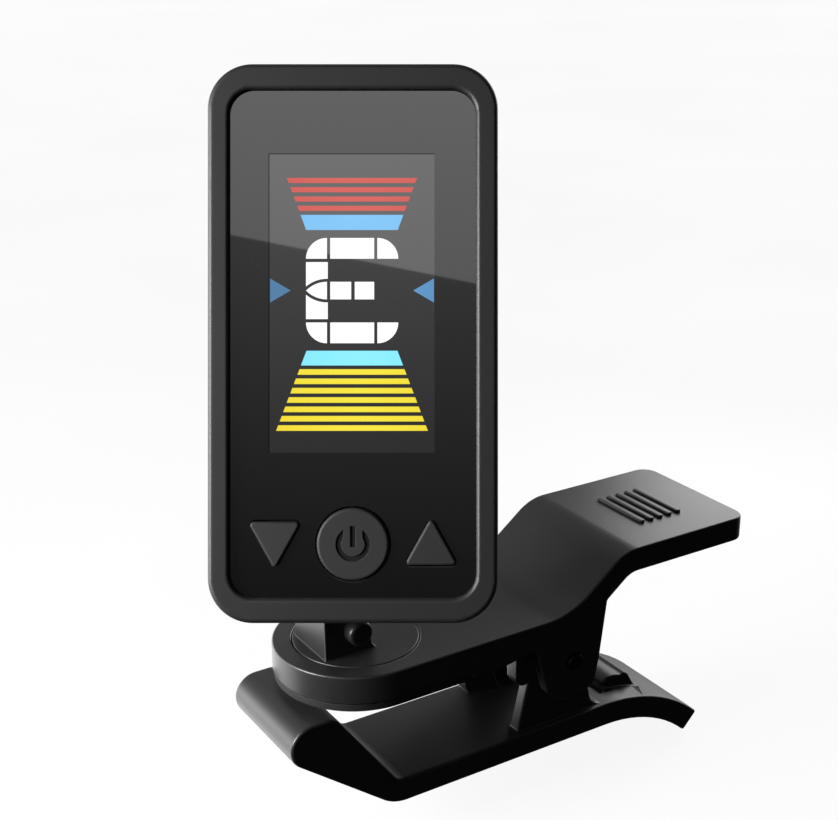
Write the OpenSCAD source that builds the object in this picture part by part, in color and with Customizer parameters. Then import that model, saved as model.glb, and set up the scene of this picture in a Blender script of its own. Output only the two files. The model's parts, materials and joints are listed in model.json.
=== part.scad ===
/* [Upper jaw] */
// Width of the upper jaw, and the diameter of its round front
jaw_w = 18.2; // [14:0.1:24]
// Height of the upper jaw's top over the grip pad's face
jaw_top_z = 4.1; // [3.6:0.1:5]
// Depth of the upper jaw's front plate
rim_t = 3.25; // [3:0.05:3.5]
// Thickness of the raised finger tab
tab_t = 2.9; // [2:0.1:3.2]
// Height of the tab's top over the front plate's top
tab_rise = 5.9; // [4:0.1:8]
// Place of the tab's rear end
tab_end_x = 48.8; // [42:0.1:56]
// Place where the top starts to rise towards the tab
rise_start_x = 19.5; // [18:0.1:22]
// Steepest slope of the rise, in degrees
rise_angle = 38; // [30:1:45]
// Radius of the rise's lower bend, on top
rise_r_low = 8.5; // [6:0.1:9]
// Radius of the rise's upper bend, on top
rise_r_high = 5.9; // [4:0.1:6.5]
// Corner radius of the tab's rear end
tab_corner_r = 2; // [1:0.1:4]
// Number of grip ribs on the tab
grip_ribs = 5; // [3:1:7]
// Width of one grip rib
grip_rib_w = 0.7; // [0.5:0.05:1]
// Height of one grip rib
grip_rib_h = 0.35; // [0.2:0.05:0.6]
// Length of a grip rib, without its round ends
grip_rib_l = 7.6; // [4:0.1:10]
// Distance from the tab's rear end to the last grip rib
grip_rib_end = 6.4; // [4:0.1:7]
// Thickness of the two hinge flanges
flange_t = 1.4; // [1:0.1:1.8]
// Radius of the hinge flanges' round lower end, about the hinge pin
flange_r = 4.7; // [3.6:0.1:5.4]
// Thickness of the two depth ribs under the jaw
depth_rib_t = 2; // [1.2:0.1:2.4]

/* [Grip pad] */
// How far the pad's edge stays inside the jaw's edge
pad_inset = 0.15; // [0.05:0.05:0.6]
// Place of the pad's straight rear edge
pad_end_x = 9.2; // [8.6:0.1:9.4]

/* [Lower jaw] */
// Width of the lower jaw
low_w = 13.4; // [12.6:0.1:14]
// Radius of the lower jaw's rounded nose
nose_r = 2.5; // [1.8:0.1:2.8]
// Height of the nose's centre
nose_z = -3.3; // [-4:0.1:-3.2]
// Place of the nose's front circle
nose_front_x = -9.05; // [-11:0.05:-8.5]
// Place of the nose's rear circle
nose_rear_x = -7.5; // [-8.2:0.05:-6.5]
// Height of the lower jaw's flat floor
floor_z = -11.1; // [-13:0.1:-10]
// Thickness of the lower jaw's floor
floor_t = 2.9; // [2:0.1:3.6]
// Slope of the nose's inner face, in degrees
inner_slope = 53.3; // [48:0.1:58]
// Slope of the nose's underside, in degrees
under_slope = 37.5; // [34:0.1:42]
// Radius of the valley between the nose and the floor
valley_r = 1.8; // [1:0.1:3]
// Radius of the underside's bend
heel_r = 5; // [3:0.1:7]
// Place where the floor starts to curve down at the rear
arch_start_x = 30.5; // [29.8:0.1:34]
// Radius of the rear arch, on top
arch_r = 21.5; // [16:0.5:26]
// Angle that the rear arch turns through
arch_angle = 43; // [30:1:48]
// Thickness of the two hinge ears
ear_t = 1.6; // [1.2:0.1:2]
// Distance between the ears' outer faces
ear_span = 11.8; // [11:0.1:12.4]
// Radius of the ears' top, about the hinge pin
ear_r = 3.2; // [2.6:0.1:3.6]
// Width of the spring keeper behind the ears
keeper_w = 7; // [5:0.1:9]
// Height of the spring keeper over the floor
keeper_h = 1.25; // [1:0.05:1.6]
// Length of the spring keeper along the clip
keeper_l = 5.7; // [5:0.1:6.5]

/* [Hinge pin and spring] */
// Place of the hinge pin along the clip
hinge_x = 23.2; // [22.4:0.1:24]
// Height of the hinge pin
hinge_z = -1.9; // [-2.4:0.1:-1.6]
// Radius of the hinge pin
pin_r = 1; // [0.8:0.05:1.2]
// How far the hinge pin stands out of each flange
pin_proud = 0.4; // [0.2:0.05:0.8]
// Radius of the spring wire
wire_r = 0.45; // [0.35:0.05:0.55]
// Number of turns in the spring
spring_turns = 5; // [3:1:6]
// Radius of the spring's coil, to the wire's middle
coil_r = 1.9; // [1.7:0.05:2.2]

/* [Turntable] */
// Radius of the turntable's disc
disc_r = 6.9; // [5.5:0.1:7.6]
// Thickness of the turntable's disc
disc_t = 1.2; // [0.9:0.1:1.4]
// Radius of the turntable's hub
hub_r = 2.5; // [2.3:0.1:3]
// Width of the fork across its two cheeks
fork_w = 6.8; // [6:0.1:7.4]
// Thickness of each cheek
cheek_t = 1.7; // [1.2:0.1:1.9]
// Place of the fork's front face
fork_front_x = -5.6; // [-5.8:0.1:-5.4]
// Thickness of the fork's front wall
fork_wall_t = 1.2; // [0.8:0.1:1.4]
// Height of the fork's front wall over the disc
fork_h = 4.8; // [4:0.1:5]
// Place of the tilt pin along the clip
tilt_x = -2; // [-2.2:0.1:-1.8]
// Height of the tilt pin over the disc
tilt_h = 2.85; // [2.7:0.05:3]
// Radius of the tilt pin's shank
tilt_pin_r = 0.9; // [0.7:0.05:1]
// Radius of the tilt pin's round head
tilt_head_r = 1.4; // [1.2:0.05:1.8]
// Height of the tilt pin's head
tilt_head_t = 1.6; // [1:0.1:2]

/* [Knuckle] */
// Radius of the knuckle's barrel
barrel_r = 1.9; // [1.6:0.05:2]
// Place of the knuckle's stem along the clip
stem_x = 0.5; // [0:0.1:1]
// Radius of the stem
stem_r = 1.5; // [1.3:0.05:1.7]
// Height of the collar that the head turns on
collar_z = 10; // [9.9:0.05:10.2]
// Length of the stem over the collar
stem_l = 6.4; // [5.5:0.1:6.6]

/* [Head] */
// Width of the head
head_w = 28.1; // [27:0.1:34]
// Height of the head
head_h = 54.2; // [52:0.1:66]
// Thickness of the head
head_t = 8.8; // [8.8:0.1:10.5]
// Corner radius of the head
head_corner_r = 4.4; // [3:0.1:6]
// Wall of the head's covers
head_wall = 1.2; // [0.9:0.1:1.3]
// Width of the frame round the head's window
bezel_w = 2; // [1.8:0.1:2.6]
// How deep the lens lies behind the head's front
recess = 0.8; // [0.5:0.1:1]
// Turn of the head from the clip's side, at rest
head_yaw = 32.4; // [0:0.1:60]
// Backward lean of the head, in degrees
head_lean = 19.9; // [15:0.1:20]
// Height of the head's lower front edge
head_z = 13.07; // [13:0.01:14]
// Distance from the stem's axis to the head's lower front edge
head_reach = 14.03; // [13.9:0.01:14.2]
// Radius of the socket that the stem turns in
socket_r = 3.1; // [2.8:0.1:3.4]

/* [Display and buttons] */
// Thickness of the lens
lens_t = 0.9; // [0.7:0.05:0.9]
// Height of the display window's lower edge in the head
lcd_low = 16.4; // [15.8:0.1:17]
// Width of the display panel
lcd_w = 17.8; // [15:0.1:19]
// Height of the display panel
lcd_h = 31.6; // [28:0.1:32]
// Radius of the power button
power_r = 3.55; // [3:0.05:3.6]
// Height of the power button's centre in the head
power_z = 7.5; // [7.2:0.1:7.8]
// Distance of the two arrow buttons from the middle
arrow_x = 7.65; // [7.5:0.05:8]
// Width of an arrow button
arrow_w = 5.2; // [4.4:0.1:5.4]
// Height of an arrow button
arrow_h = 4.5; // [4:0.1:4.8]
// Corner radius of an arrow button
arrow_corner_r = 0.35; // [0.2:0.05:0.5]
// How far the buttons stand out of the lens
button_proud = 0.45; // [0.3:0.05:0.5]
// Travel of a button
button_travel = 0.25; // [0.15:0.05:0.3]
// Thickness of the main board
board_t = 0.7; // [0.6:0.05:0.8]

/* [Battery] */
// Radius of the coin cell
cell_r = 10; // [9.9:0.05:10]
// Thickness of the coin cell
cell_t = 3.2; // [2.5:0.1:3.2]
// Height of the coin cell's centre in the head
cell_z = 30; // [28:0.1:32]
// Width of the ring between the cell and the door's rim
door_ring = 0.8; // [0.6:0.05:0.9]
// Length of the door's bayonet lugs, outwards
lug_l = 1; // [0.7:0.05:1.1]
// Angle of each bayonet lug
lug_angle = 36; // [24:1:40]
// Thickness of the door's outer rim, which covers the ways in
rim_disc_t = 0.5; // [0.4:0.05:0.6]
// Length of the door's coin slot
coin_slot_l = 12; // [8:0.5:16]
// Width of the door's coin slot
coin_slot_w = 1.6; // [1.4:0.1:2.2]

/* [Fits] */
// Running clearance of pins and stems, on the radius
run_gap = 0.05; // [0.03:0.01:0.09]
// Clearance of pieces pressed or glued in place
set_gap = 0.02; // [0.01:0.01:0.04]
// Free clearance round pieces that only pass
free_gap = 0.15; // [0.1:0.01:0.2]

/* [Hidden] */
$fn = 64;
eps = 0.01;

// Upper jaw, derived
jaw_r = jaw_w / 2;
rim_z = jaw_top_z - rim_t;
rise_r = rise_r_low + rise_r_high;
rise_straight = (tab_rise - rise_r * (1 - cos(rise_angle))) / sin(rise_angle);
tab_start_x = rise_start_x + rise_r * sin(rise_angle) + rise_straight * cos(rise_angle);
tab_z = jaw_top_z + tab_rise;
flange_front_x = hinge_x - 5.4;
flange_rear_x = hinge_x + 4.6;
skirt_z = 0.25;
skirt_end_x = 13;
depth_rib_y = ear_span / 2 + 1.5;
depth_rib_x0 = pad_end_x + 0.3;
depth_rib_x1 = 15.9;
depth_rib_z0 = -2.6;
depth_rib_z1 = -3.6;
lug_x = 17.55;
lug_r = 1.2;
lug_z = -2.9;

// Spring legs and their keeper, derived
leg_x = hinge_x + 9.6;
leg_tip_x = leg_x - 0.6;
keeper_x = leg_tip_x - 0.1;
keeper_hook_r = wire_r + 0.1;
upper_leg_z = tab_z - tab_t - wire_r - 0.3;
coil_pitch = 2 * wire_r + 0.12;
coil_half = coil_pitch * spring_turns / 2;
coil_start = 132;
coil_turn = 360 * spring_turns + 150;
coil_steps = 16 * spring_turns;

// Turntable, derived
disc_z = jaw_top_z - disc_t;
web_z0 = rim_z + 0.85;
hub_z0 = web_z0 + 0.02;
washer_r = hub_r + 1.1;
washer_t = 0.3;
washer_pocket_r = washer_r + free_gap;
screw_r = 0.8;
screw_head_r = 1.9;
screw_head_t = 0.4;
screw_l = 2.2;
screw_z = web_z0 - washer_t - 2 * set_gap - screw_head_t;
tilt_z = jaw_top_z + tilt_h;
cheek_r = 2;
cheek_rear_x = 0.1;
fork_floor_h = 0.6;
slot_w = fork_w - 2 * cheek_t;
barrel_w = slot_w - 0.12;
tilt_nut_t = 1.2;

// Knuckle, derived
collar_r = 2.6;
collar_t = 0.6;
groove_z = collar_z + 2.6;
groove_h = 0.95;
keeper_r = 0.4;
keeper_off = stem_r - 0.02;
groove_r = keeper_off - keeper_r - 0.08;
socket_z0 = collar_z + 0.06;
socket_top = collar_z + stem_l + 1.2;
socket_web_w = 5.2;

// Head, derived: depth is measured from the front face, up from the lower edge
lens_y = recess;
lens_back = lens_y + lens_t;
lcd_y = lens_back + 0.05;
lcd_t = 1;
guide_y = lcd_y + lcd_t + 0.05;
guide_t = 0.6;
board_y = guide_y + guide_t + 0.05;
board_back = board_y + board_t;
cell_y = board_back + 0.2;
back_wall = 1;
back_in = head_t - back_wall;
seam_y = 4.6;
inner_w = head_w - 2 * head_wall;
inner_h = head_h - 2 * head_wall;
inner_r = head_corner_r - head_wall;
open_w = head_w - 2 * bezel_w;
open_h = head_h - 2 * bezel_w - 0.5;
open_r = head_corner_r - bezel_w;
lens_lip = 0.4;
lens_w = open_w + 2 * lens_lip;
lens_h = open_h + 2 * lens_lip;
boss_x = head_w / 2 - 2.75;
boss_low = 2.9;
boss_high = head_h - 2.9;
boss_r = 1.6;
tube_r = 1.9;
thread_r = 0.7;
cover_head_r = 1.3;
cover_head_t = 0.9;
counter_t = 1.2;
door_r = cell_r + free_gap + door_ring;
door_t = 0.9;
door_rim_r = door_r + lug_l + 0.4;
lug_y = back_in - 0.9;
lug_t = 0.8;
unlock_angle = 60;
coin_slot_deep = 0.5;
arrow_low = power_z - 2;
button_back = lens_back + 0.1;
button_flange = 0.5;
button_rim = 0.55;
mark_r = 1.63;
mark_line = 0.42;
mark_gap = 2;
mark_deep = 0.15;
dome_t = 0.48;
dome_gap = 0.1;
plunger_end = board_y - set_gap - dome_t - dome_gap - button_travel;

function arc(cx, cy, r, a0, a1, n = 16) =
    [for (i = [0:n]) let (a = a0 + (a1 - a0) * i / n) [cx + r * cos(a), cy + r * sin(a)]];

// A profile drawn in x and z, given a width across y and centred there
module across(width) {
    translate([0, width / 2, 0]) rotate([90, 0, 0]) linear_extrude(width) children();
}

// A flat outline drawn in x and z, given a depth from y0 to y1
module slab(y0, y1) {
    translate([0, y1, 0]) rotate([90, 0, 0]) linear_extrude(y1 - y0) children();
}

// A round bar along y from y0 to y1
module bar_y(r, y0, y1) {
    translate([0, y1, 0]) rotate([90, 0, 0]) cylinder(r = r, h = y1 - y0);
}

// A rectangle with round corners, centred on x, standing on z0
module round_rect(w, h, r, z0) {
    translate([-w / 2 + r, z0]) square([w - 2 * r, h]);
    translate([-w / 2, z0 + r]) square([w, h - 2 * r]);
    for (x = [-1, 1], z = [r, h - r]) translate([x * (w / 2 - r), z0 + z]) circle(r);
}

// A triangle with round corners, point up, standing on the origin
module round_triangle(w, h, r) {
    half = atan(h / (w / 2));
    inset = r / tan(half / 2);
    top = r / sin(90 - half);
    polygon(concat(
        arc(w / 2 - inset, r, r, -90, 90 - half, 6),
        arc(0, h - top, r, 90 - half, 90 + half, 6),
        arc(-w / 2 + inset, r, r, 90 + half, 270, 6)));
}

// Places the turning frame of the head on the stem's axis
module at_swivel() {
    translate([stem_x, 0, 0]) rotate([0, 0, -head_yaw]) children();
}

// Places the head's own frame: x to the right, y into the head, z up its face
module at_head() {
    at_swivel() translate([0, -head_reach, head_z]) rotate([-head_lean, 0, 0]) children();
}

// Upper jaw ------------------------------------------------------------

module jaw_plan() {
    circle(r = jaw_r);
    translate([0, -jaw_r]) square([tab_end_x - tab_corner_r, jaw_w]);
    for (y = [-1, 1])
        translate([tab_end_x - tab_corner_r, y * (jaw_r - tab_corner_r)]) circle(tab_corner_r);
    translate([0, -jaw_r + tab_corner_r]) square([tab_end_x, jaw_w - 2 * tab_corner_r]);
}

// The rise from the front plate to the tab; drop is how far under the top it runs
function rise(drop) = concat(
    arc(rise_start_x, jaw_top_z + rise_r_low, rise_r_low + drop, -90, -90 + rise_angle, 12),
    arc(tab_start_x, tab_z - rise_r_high, rise_r_high - drop, 90 + rise_angle, 90, 12));

function reversed(list) = [for (i = [len(list) - 1:-1:0]) list[i]];

module jaw_side() {
    polygon(concat(
        [[-jaw_r - 1, jaw_top_z]], rise(0), [[tab_end_x + 1, tab_z], [tab_end_x + 1, tab_z - tab_t]],
        reversed(rise(tab_t)),
        [[rise_start_x, rim_z], [16.9, rim_z], [skirt_end_x, skirt_z],
         [pad_end_x + set_gap, skirt_z], [pad_end_x + set_gap, rim_z], [-jaw_r - 1, rim_z]]));
}

module flange_side() {
    polygon(concat(
        [[flange_rear_x, jaw_top_z + 1.2], [rise_start_x, rim_z + 1], [flange_front_x, rim_z + 0.2]],
        arc(hinge_x, hinge_z, flange_r, 216, 312, 16),
        [[flange_rear_x - 0.9, hinge_z - 0.3]]));
}

module depth_rib_side() {
    polygon([[depth_rib_x0, rim_z + 1], [depth_rib_x0, depth_rib_z0 + 1], [depth_rib_x0 + 0.4, depth_rib_z0],
             [depth_rib_x1 - 1.6, depth_rib_z1], [depth_rib_x1 - 3.4, rim_z], [depth_rib_x1, rim_z + 1]]);
    hull() {
        translate([lug_x, lug_z]) circle(lug_r, $fn = 32);
        translate([lug_x - lug_r, rim_z + 0.5]) square([2 * lug_r, 0.5]);
    }
}

module grip_rib_marks() {
    rib_pitch = 2 * grip_rib_w;
    for (i = [0:grip_ribs - 1])
        translate([tab_end_x - grip_rib_end - i * rib_pitch, 0, tab_z - eps])
            linear_extrude(grip_rib_h + eps) {
                square([grip_rib_w, grip_rib_l], center = true);
                for (y = [-1, 1]) translate([0, y * grip_rib_l / 2]) circle(d = grip_rib_w);
            }
}

module upper_jaw() {
    color([0.07, 0.07, 0.07]) {
        difference() {
            union() {
                intersection() {
                    translate([0, 0, -1]) linear_extrude(tab_z + 2) jaw_plan();
                    across(jaw_w + 2) jaw_side();
                }
                for (y = [-1, 1]) translate([0, y * (jaw_r - flange_t / 2), 0]) across(flange_t) flange_side();
                for (y = [-1, 1])
                    translate([0, y * (depth_rib_y - depth_rib_t / 2), 0]) across(depth_rib_t) depth_rib_side();
            }
            translate([0, 0, disc_z - run_gap]) cylinder(r = disc_r + run_gap, h = rim_t);
            translate([0, 0, rim_z - 1]) cylinder(r = hub_r + run_gap, h = rim_t);
            translate([0, 0, rim_z - 1]) cylinder(r = washer_pocket_r, h = web_z0 - rim_z + 1);
            translate([hinge_x, 0, hinge_z]) bar_y(pin_r + set_gap, -jaw_r - 1, jaw_r + 1);
        }
        grip_rib_marks();
    }
}

module grip_pad() {
    color([0.05, 0.05, 0.05]) linear_extrude(rim_z - set_gap) intersection() {
        union() {
            circle(r = jaw_r - pad_inset);
            translate([0, -jaw_r + pad_inset]) square([pad_end_x, jaw_w - 2 * pad_inset]);
        }
        translate([-jaw_r, -jaw_r]) square([jaw_r + pad_end_x, jaw_w]);
    }
}

// Lower jaw ------------------------------------------------------------

// Where a line that touches the nose circle reaches a height
function nose_line_x(cx, side, slope, z) =
    let (tx = cx + side * nose_r * sin(slope), tz = nose_z + side * nose_r * cos(slope))
    tx + (tz - z) / tan(slope);

module lower_side() {
    valley_x = nose_line_x(nose_rear_x, 1, inner_slope, floor_z);
    heel_x = nose_line_x(nose_front_x, -1, under_slope, floor_z - floor_t);
    valley_cx = valley_x + valley_r * tan(inner_slope / 2);
    heel_cx = heel_x + heel_r * tan(under_slope / 2);
    polygon(concat(
        arc(nose_front_x, nose_z, nose_r, 270 - under_slope, 90, 16),
        arc(nose_rear_x, nose_z, nose_r, 90, 90 - inner_slope, 10),
        arc(valley_cx, floor_z + valley_r, valley_r, 270 - inner_slope, 270, 8),
        arc(arch_start_x, floor_z - arch_r, arch_r, 90, 90 - arch_angle, 16),
        arc(arch_start_x, floor_z - arch_r, arch_r - floor_t, 90 - arch_angle, 90, 16),
        arc(heel_cx, floor_z - floor_t + heel_r, heel_r, 270, 270 - under_slope, 10)));
}

module ear_side() {
    polygon(concat(
        [[hinge_x - 5.5, floor_z - 0.5]],
        arc(hinge_x, hinge_z, ear_r, 170, 10, 20),
        [[hinge_x + 5.4, floor_z + 0.9], [hinge_x + 6.5, floor_z], [hinge_x + 6.5, floor_z - 0.5]]));
}

// Bar that the spring's lower leg bears on, with a shallow groove across its top
module keeper_side() {
    translate([keeper_x, floor_z]) difference() {
        polygon([[0, -0.8], [0, keeper_h - 0.65], [0.9, keeper_h - 0.05], [2.1, keeper_h], [3.2, keeper_h - 0.35],
                 [3.7, keeper_h - 0.1], [4.2, keeper_h - 0.4], [keeper_l, -1.6]]);
        translate([0, -0.05]) circle(keeper_hook_r);
    }
}

module lower_jaw() {
    color([0.07, 0.07, 0.07]) difference() {
        union() {
            across(low_w) lower_side();
            for (y = [-1, 1]) translate([0, y * (ear_span - ear_t) / 2, 0]) across(ear_t) ear_side();
            across(keeper_w) keeper_side();
        }
        translate([hinge_x, 0, hinge_z]) bar_y(pin_r + run_gap, -jaw_r, jaw_r);
    }
}

// Hinge pin and spring ---------------------------------------------------

module hinge_pin() {
    color([0.35, 0.35, 0.37]) translate([hinge_x, 0, hinge_z])
        bar_y(pin_r, -jaw_r - pin_proud, jaw_r + pin_proud);
}

// The wire's middle line: upper leg, coil, lower leg
spring_path = concat(
    [[leg_x, -coil_half, upper_leg_z], [hinge_x + 5, -coil_half, upper_leg_z - 3.9]],
    [for (i = [0:coil_steps]) let (t = i / coil_steps, a = coil_start - coil_turn * t)
        [hinge_x + coil_r * cos(a), -coil_half + 2 * coil_half * t, hinge_z + coil_r * sin(a)]],
    [[hinge_x + 4.6, coil_half, floor_z + 4.3], [leg_tip_x, coil_half - 0.9, floor_z + wire_r + 0.3]]);

function unit(v) = v / norm(v);
function tangent(p, i) = unit(p[min(i + 1, len(p) - 1)] - p[max(i - 1, 0)]);
function wire_ring(p, i, r, sides) =
    let (t = tangent(p, i), s = unit(cross(t, [0.02, 1, 0.03])), u = cross(s, t))
    [for (k = [0:sides - 1]) p[i] + r * cos(360 * k / sides) * s + r * sin(360 * k / sides) * u];

module wire(p, r, sides = 8) {
    rings = len(p);
    points = [for (i = [0:rings - 1]) each wire_ring(p, i, r, sides)];
    walls = [for (i = [0:rings - 2], k = [0:sides - 1])
        let (a = i * sides, n = (k + 1) % sides) [a + k, a + n, a + sides + n, a + sides + k]];
    polyhedron(points, concat([[for (k = [sides - 1:-1:0]) k]], walls,
        [[for (k = [0:sides - 1]) (rings - 1) * sides + k]]));
}

module torsion_spring() {
    color([0.6, 0.6, 0.62]) wire(spring_path, wire_r);
}

// Turntable ----------------------------------------------------------------

module fork_side() {
    polygon(concat(
        [[fork_front_x, jaw_top_z - eps], [fork_front_x, jaw_top_z + fork_h],
         [fork_front_x + fork_wall_t, jaw_top_z + fork_h]],
        arc(tilt_x, tilt_z, cheek_r, 110, -20, 16),
        [[cheek_rear_x, jaw_top_z + 0.5], [cheek_rear_x + 0.5, jaw_top_z - eps]]));
}

module turntable() {
    color([0.07, 0.07, 0.07]) difference() {
        union() {
            translate([0, 0, disc_z]) cylinder(r = disc_r, h = disc_t);
            translate([0, 0, hub_z0]) cylinder(r = hub_r, h = disc_z - hub_z0 + eps);
            across(fork_w) fork_side();
        }
        translate([fork_front_x + fork_wall_t, -slot_w / 2, jaw_top_z + fork_floor_h])
            cube([2 * disc_r, slot_w, 2 * fork_h]);
        translate([tilt_x, 0, tilt_z]) bar_y(tilt_pin_r + set_gap, -fork_w, fork_w);
        translate([0, 0, screw_z]) cylinder(r = screw_r + set_gap, h = screw_l + free_gap);
    }
}

module turntable_washer() {
    color([0.7, 0.7, 0.72]) translate([0, 0, web_z0 - washer_t - set_gap]) difference() {
        cylinder(r = washer_r, h = washer_t);
        translate([0, 0, -1]) cylinder(r = screw_r + run_gap, h = 2);
    }
}

module turntable_screw() {
    color([0.6, 0.6, 0.62]) translate([0, 0, screw_z]) difference() {
        union() {
            cylinder(r = screw_head_r, h = screw_head_t);
            cylinder(r = screw_r, h = screw_l);
        }
        for (a = [0, 90]) rotate([0, 0, a]) cube([2, 0.4, 0.4], center = true);
    }
}

module tilt_pin() {
    color([0.1, 0.1, 0.1]) translate([tilt_x, 0, tilt_z]) {
        bar_y(tilt_pin_r, -fork_w / 2 - tilt_head_t / 2, fork_w / 2 + tilt_nut_t);
        bar_y(tilt_head_r, -fork_w / 2 - tilt_head_t, -fork_w / 2 - set_gap);
    }
}

module tilt_nut() {
    color([0.1, 0.1, 0.1]) translate([tilt_x, 0, tilt_z]) difference() {
        bar_y(tilt_head_r, fork_w / 2 + set_gap, fork_w / 2 + tilt_nut_t);
        bar_y(tilt_pin_r + set_gap, 0, fork_w);
    }
}

// Knuckle --------------------------------------------------------------------

module neck_side() {
    polygon([[tilt_x - 1.2, tilt_z + 1.3], [stem_x - 1.5, collar_z - collar_t], [stem_x + 1.6, collar_z - collar_t],
             [stem_x + 1.6, collar_z - collar_t - 0.9], [tilt_x + 1.7, tilt_z - 0.5]]);
}

module knuckle() {
    color([0.09, 0.09, 0.09]) difference() {
        union() {
            translate([tilt_x, 0, tilt_z]) bar_y(barrel_r, -barrel_w / 2, barrel_w / 2);
            across(barrel_w) neck_side();
            translate([stem_x, 0, collar_z - collar_t]) cylinder(r = collar_r, h = collar_t);
            translate([stem_x, 0, collar_z - eps]) cylinder(r = stem_r, h = stem_l);
        }
        translate([tilt_x, 0, tilt_z]) bar_y(tilt_pin_r + run_gap, -fork_w, fork_w);
        translate([stem_x, 0, groove_z - groove_h / 2]) difference() {
            cylinder(r = stem_r + 1, h = groove_h);
            translate([0, 0, -1]) cylinder(r = groove_r, h = groove_h + 2);
        }
    }
}

// Cross pin that sits in the stem's groove and keeps the head on it
module swivel_keeper() {
    color([0.6, 0.6, 0.62]) at_swivel() translate([-socket_r - 0.3, keeper_off, groove_z])
        rotate([0, 90, 0]) cylinder(r = keeper_r, h = 2 * socket_r + 0.6);
}

// Head covers ------------------------------------------------------------------

// Where the head's rear face lies at a height, in the turning frame; into is how deep in the wall
function rear_y(z, into) =
    (head_t - into) / cos(head_lean) + (z - head_z) * tan(head_lean) - head_reach;

module socket_web_side() {
    foot_z = socket_z0 + 1.44;
    polygon([[0, socket_z0], [rear_y(socket_z0, 0) + 0.65, socket_z0], [rear_y(foot_z, back_wall + 0.1), foot_z],
             [rear_y(socket_top, back_wall - 0.1), socket_top], [0, socket_top]]);
}

module head_cavity(y0, y1) {
    slab(y0, y1) round_rect(inner_w, inner_h, inner_r, head_wall);
}

module front_cover() {
    color([0.08, 0.08, 0.08]) at_head() difference() {
        union() {
            difference() {
                slab(0, seam_y) round_rect(head_w, head_h, head_corner_r, 0);
                head_cavity(lens_back + 0.25, seam_y + 1);
            }
            for (x = [-1, 1], z = [boss_low, boss_high])
                translate([x * boss_x, 0, z]) bar_y(boss_r, lens_back + 0.1, seam_y - 0.05);
        }
        slab(-1, lens_back + 1) round_rect(open_w, open_h, open_r, (head_h - open_h) / 2);
        slab(lens_y, lens_back + 0.3)
            round_rect(lens_w + 2 * set_gap, lens_h + 2 * set_gap, open_r + lens_lip, (head_h - lens_h) / 2 - set_gap);
        for (x = [-1, 1], z = [boss_low, boss_high])
            translate([x * boss_x, 0, z]) bar_y(thread_r + set_gap, lens_back + 0.6, seam_y + 1);
    }
}

// The two ways into the bayonet, a turn of unlock_angle away from the lugs
module door_opening() {
    translate([0, 0, cell_z]) {
        bar_y(door_r + run_gap, back_in - 1, head_t + 1);
        bar_y(door_rim_r + run_gap, head_t - rim_disc_t - set_gap, head_t + 1);
        for (a = [0, 180]) rotate([0, a + unlock_angle, 0])
            rotate([90, 0, 0]) translate([0, 0, -head_t - 1])
                rotate([0, 0, -lug_angle / 2 - 2]) rotate_extrude(angle = lug_angle + 4)
                    square([door_r + lug_l + free_gap, back_wall + 1 + eps]);
    }
}

module rear_cover() {
    color([0.08, 0.08, 0.08]) difference() {
        union() {
            at_head() slab(seam_y + set_gap, head_t) round_rect(head_w, head_h, head_corner_r, 0);
            at_swivel() rotate([0, 0, 90]) across(socket_web_w) socket_web_side();
            at_swivel() translate([0, 0, socket_z0]) cylinder(r = socket_r, h = socket_top - socket_z0);
        }
        at_head() difference() {
            head_cavity(seam_y - 1, back_in);
            for (x = [-1, 1], z = [boss_low, boss_high])
                translate([x * boss_x, 0, z]) bar_y(tube_r, seam_y + 0.05, head_t);
        }
        at_head() for (x = [-1, 1], z = [boss_low, boss_high]) translate([x * boss_x, 0, z]) {
            bar_y(thread_r + free_gap, seam_y - 1, head_t + 1);
            bar_y(cover_head_r + free_gap, head_t - counter_t, head_t + 1);
        }
        at_head() door_opening();
        at_swivel() translate([0, 0, socket_z0 - 1]) cylinder(r = stem_r + run_gap, h = stem_l + 1.2);
        at_swivel() translate([-2 * socket_r, keeper_off, groove_z])
            rotate([0, 90, 0]) cylinder(r = keeper_r + set_gap, h = 4 * socket_r);
    }
}

module cover_screws() {
    color([0.6, 0.6, 0.62]) at_head() for (x = [-1, 1], z = [boss_low, boss_high])
        translate([x * boss_x, 0, z]) difference() {
            union() {
                bar_y(cover_head_r, head_t - counter_t + set_gap, head_t - counter_t + cover_head_t);
                bar_y(thread_r, lens_back + 0.8, head_t - counter_t + 0.1);
            }
            for (a = [0, 90]) rotate([0, a, 0])
                translate([-0.8, head_t - counter_t + cover_head_t - 0.35, -0.17]) cube([1.6, 1, 0.34]);
        }
}

// Display ------------------------------------------------------------------------

module arrow_outline(grow, point_up) {
    w = arrow_w + 2 * grow;
    h = arrow_h + 2 * grow;
    if (point_up) translate([arrow_x, arrow_low - grow]) round_triangle(w, h, arrow_corner_r + grow);
    else translate([-arrow_x, arrow_low + arrow_h + grow]) mirror([0, 1])
        round_triangle(w, h, arrow_corner_r + grow);
}

module display_lens() {
    color([0.12, 0.12, 0.13, 0.6]) at_head() difference() {
        slab(lens_y + set_gap, lens_back)
            round_rect(lens_w, lens_h, open_r + lens_lip, (head_h - lens_h) / 2);
        translate([0, 0, power_z]) bar_y(power_r + free_gap, 0, head_t);
        slab(0, head_t) arrow_outline(free_gap, true);
        slab(0, head_t) arrow_outline(free_gap, false);
    }
}

module lcd_panel() {
    color([0.16, 0.17, 0.18]) at_head()
        translate([-lcd_w / 2, lcd_y, lcd_low - 0.6]) cube([lcd_w, lcd_t, lcd_h]);
}

module light_guide() {
    color([0.92, 0.93, 0.95]) at_head()
        translate([-lcd_w / 2, guide_y, lcd_low - 0.6]) cube([lcd_w, guide_t, lcd_h - 1.8]);
}

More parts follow.
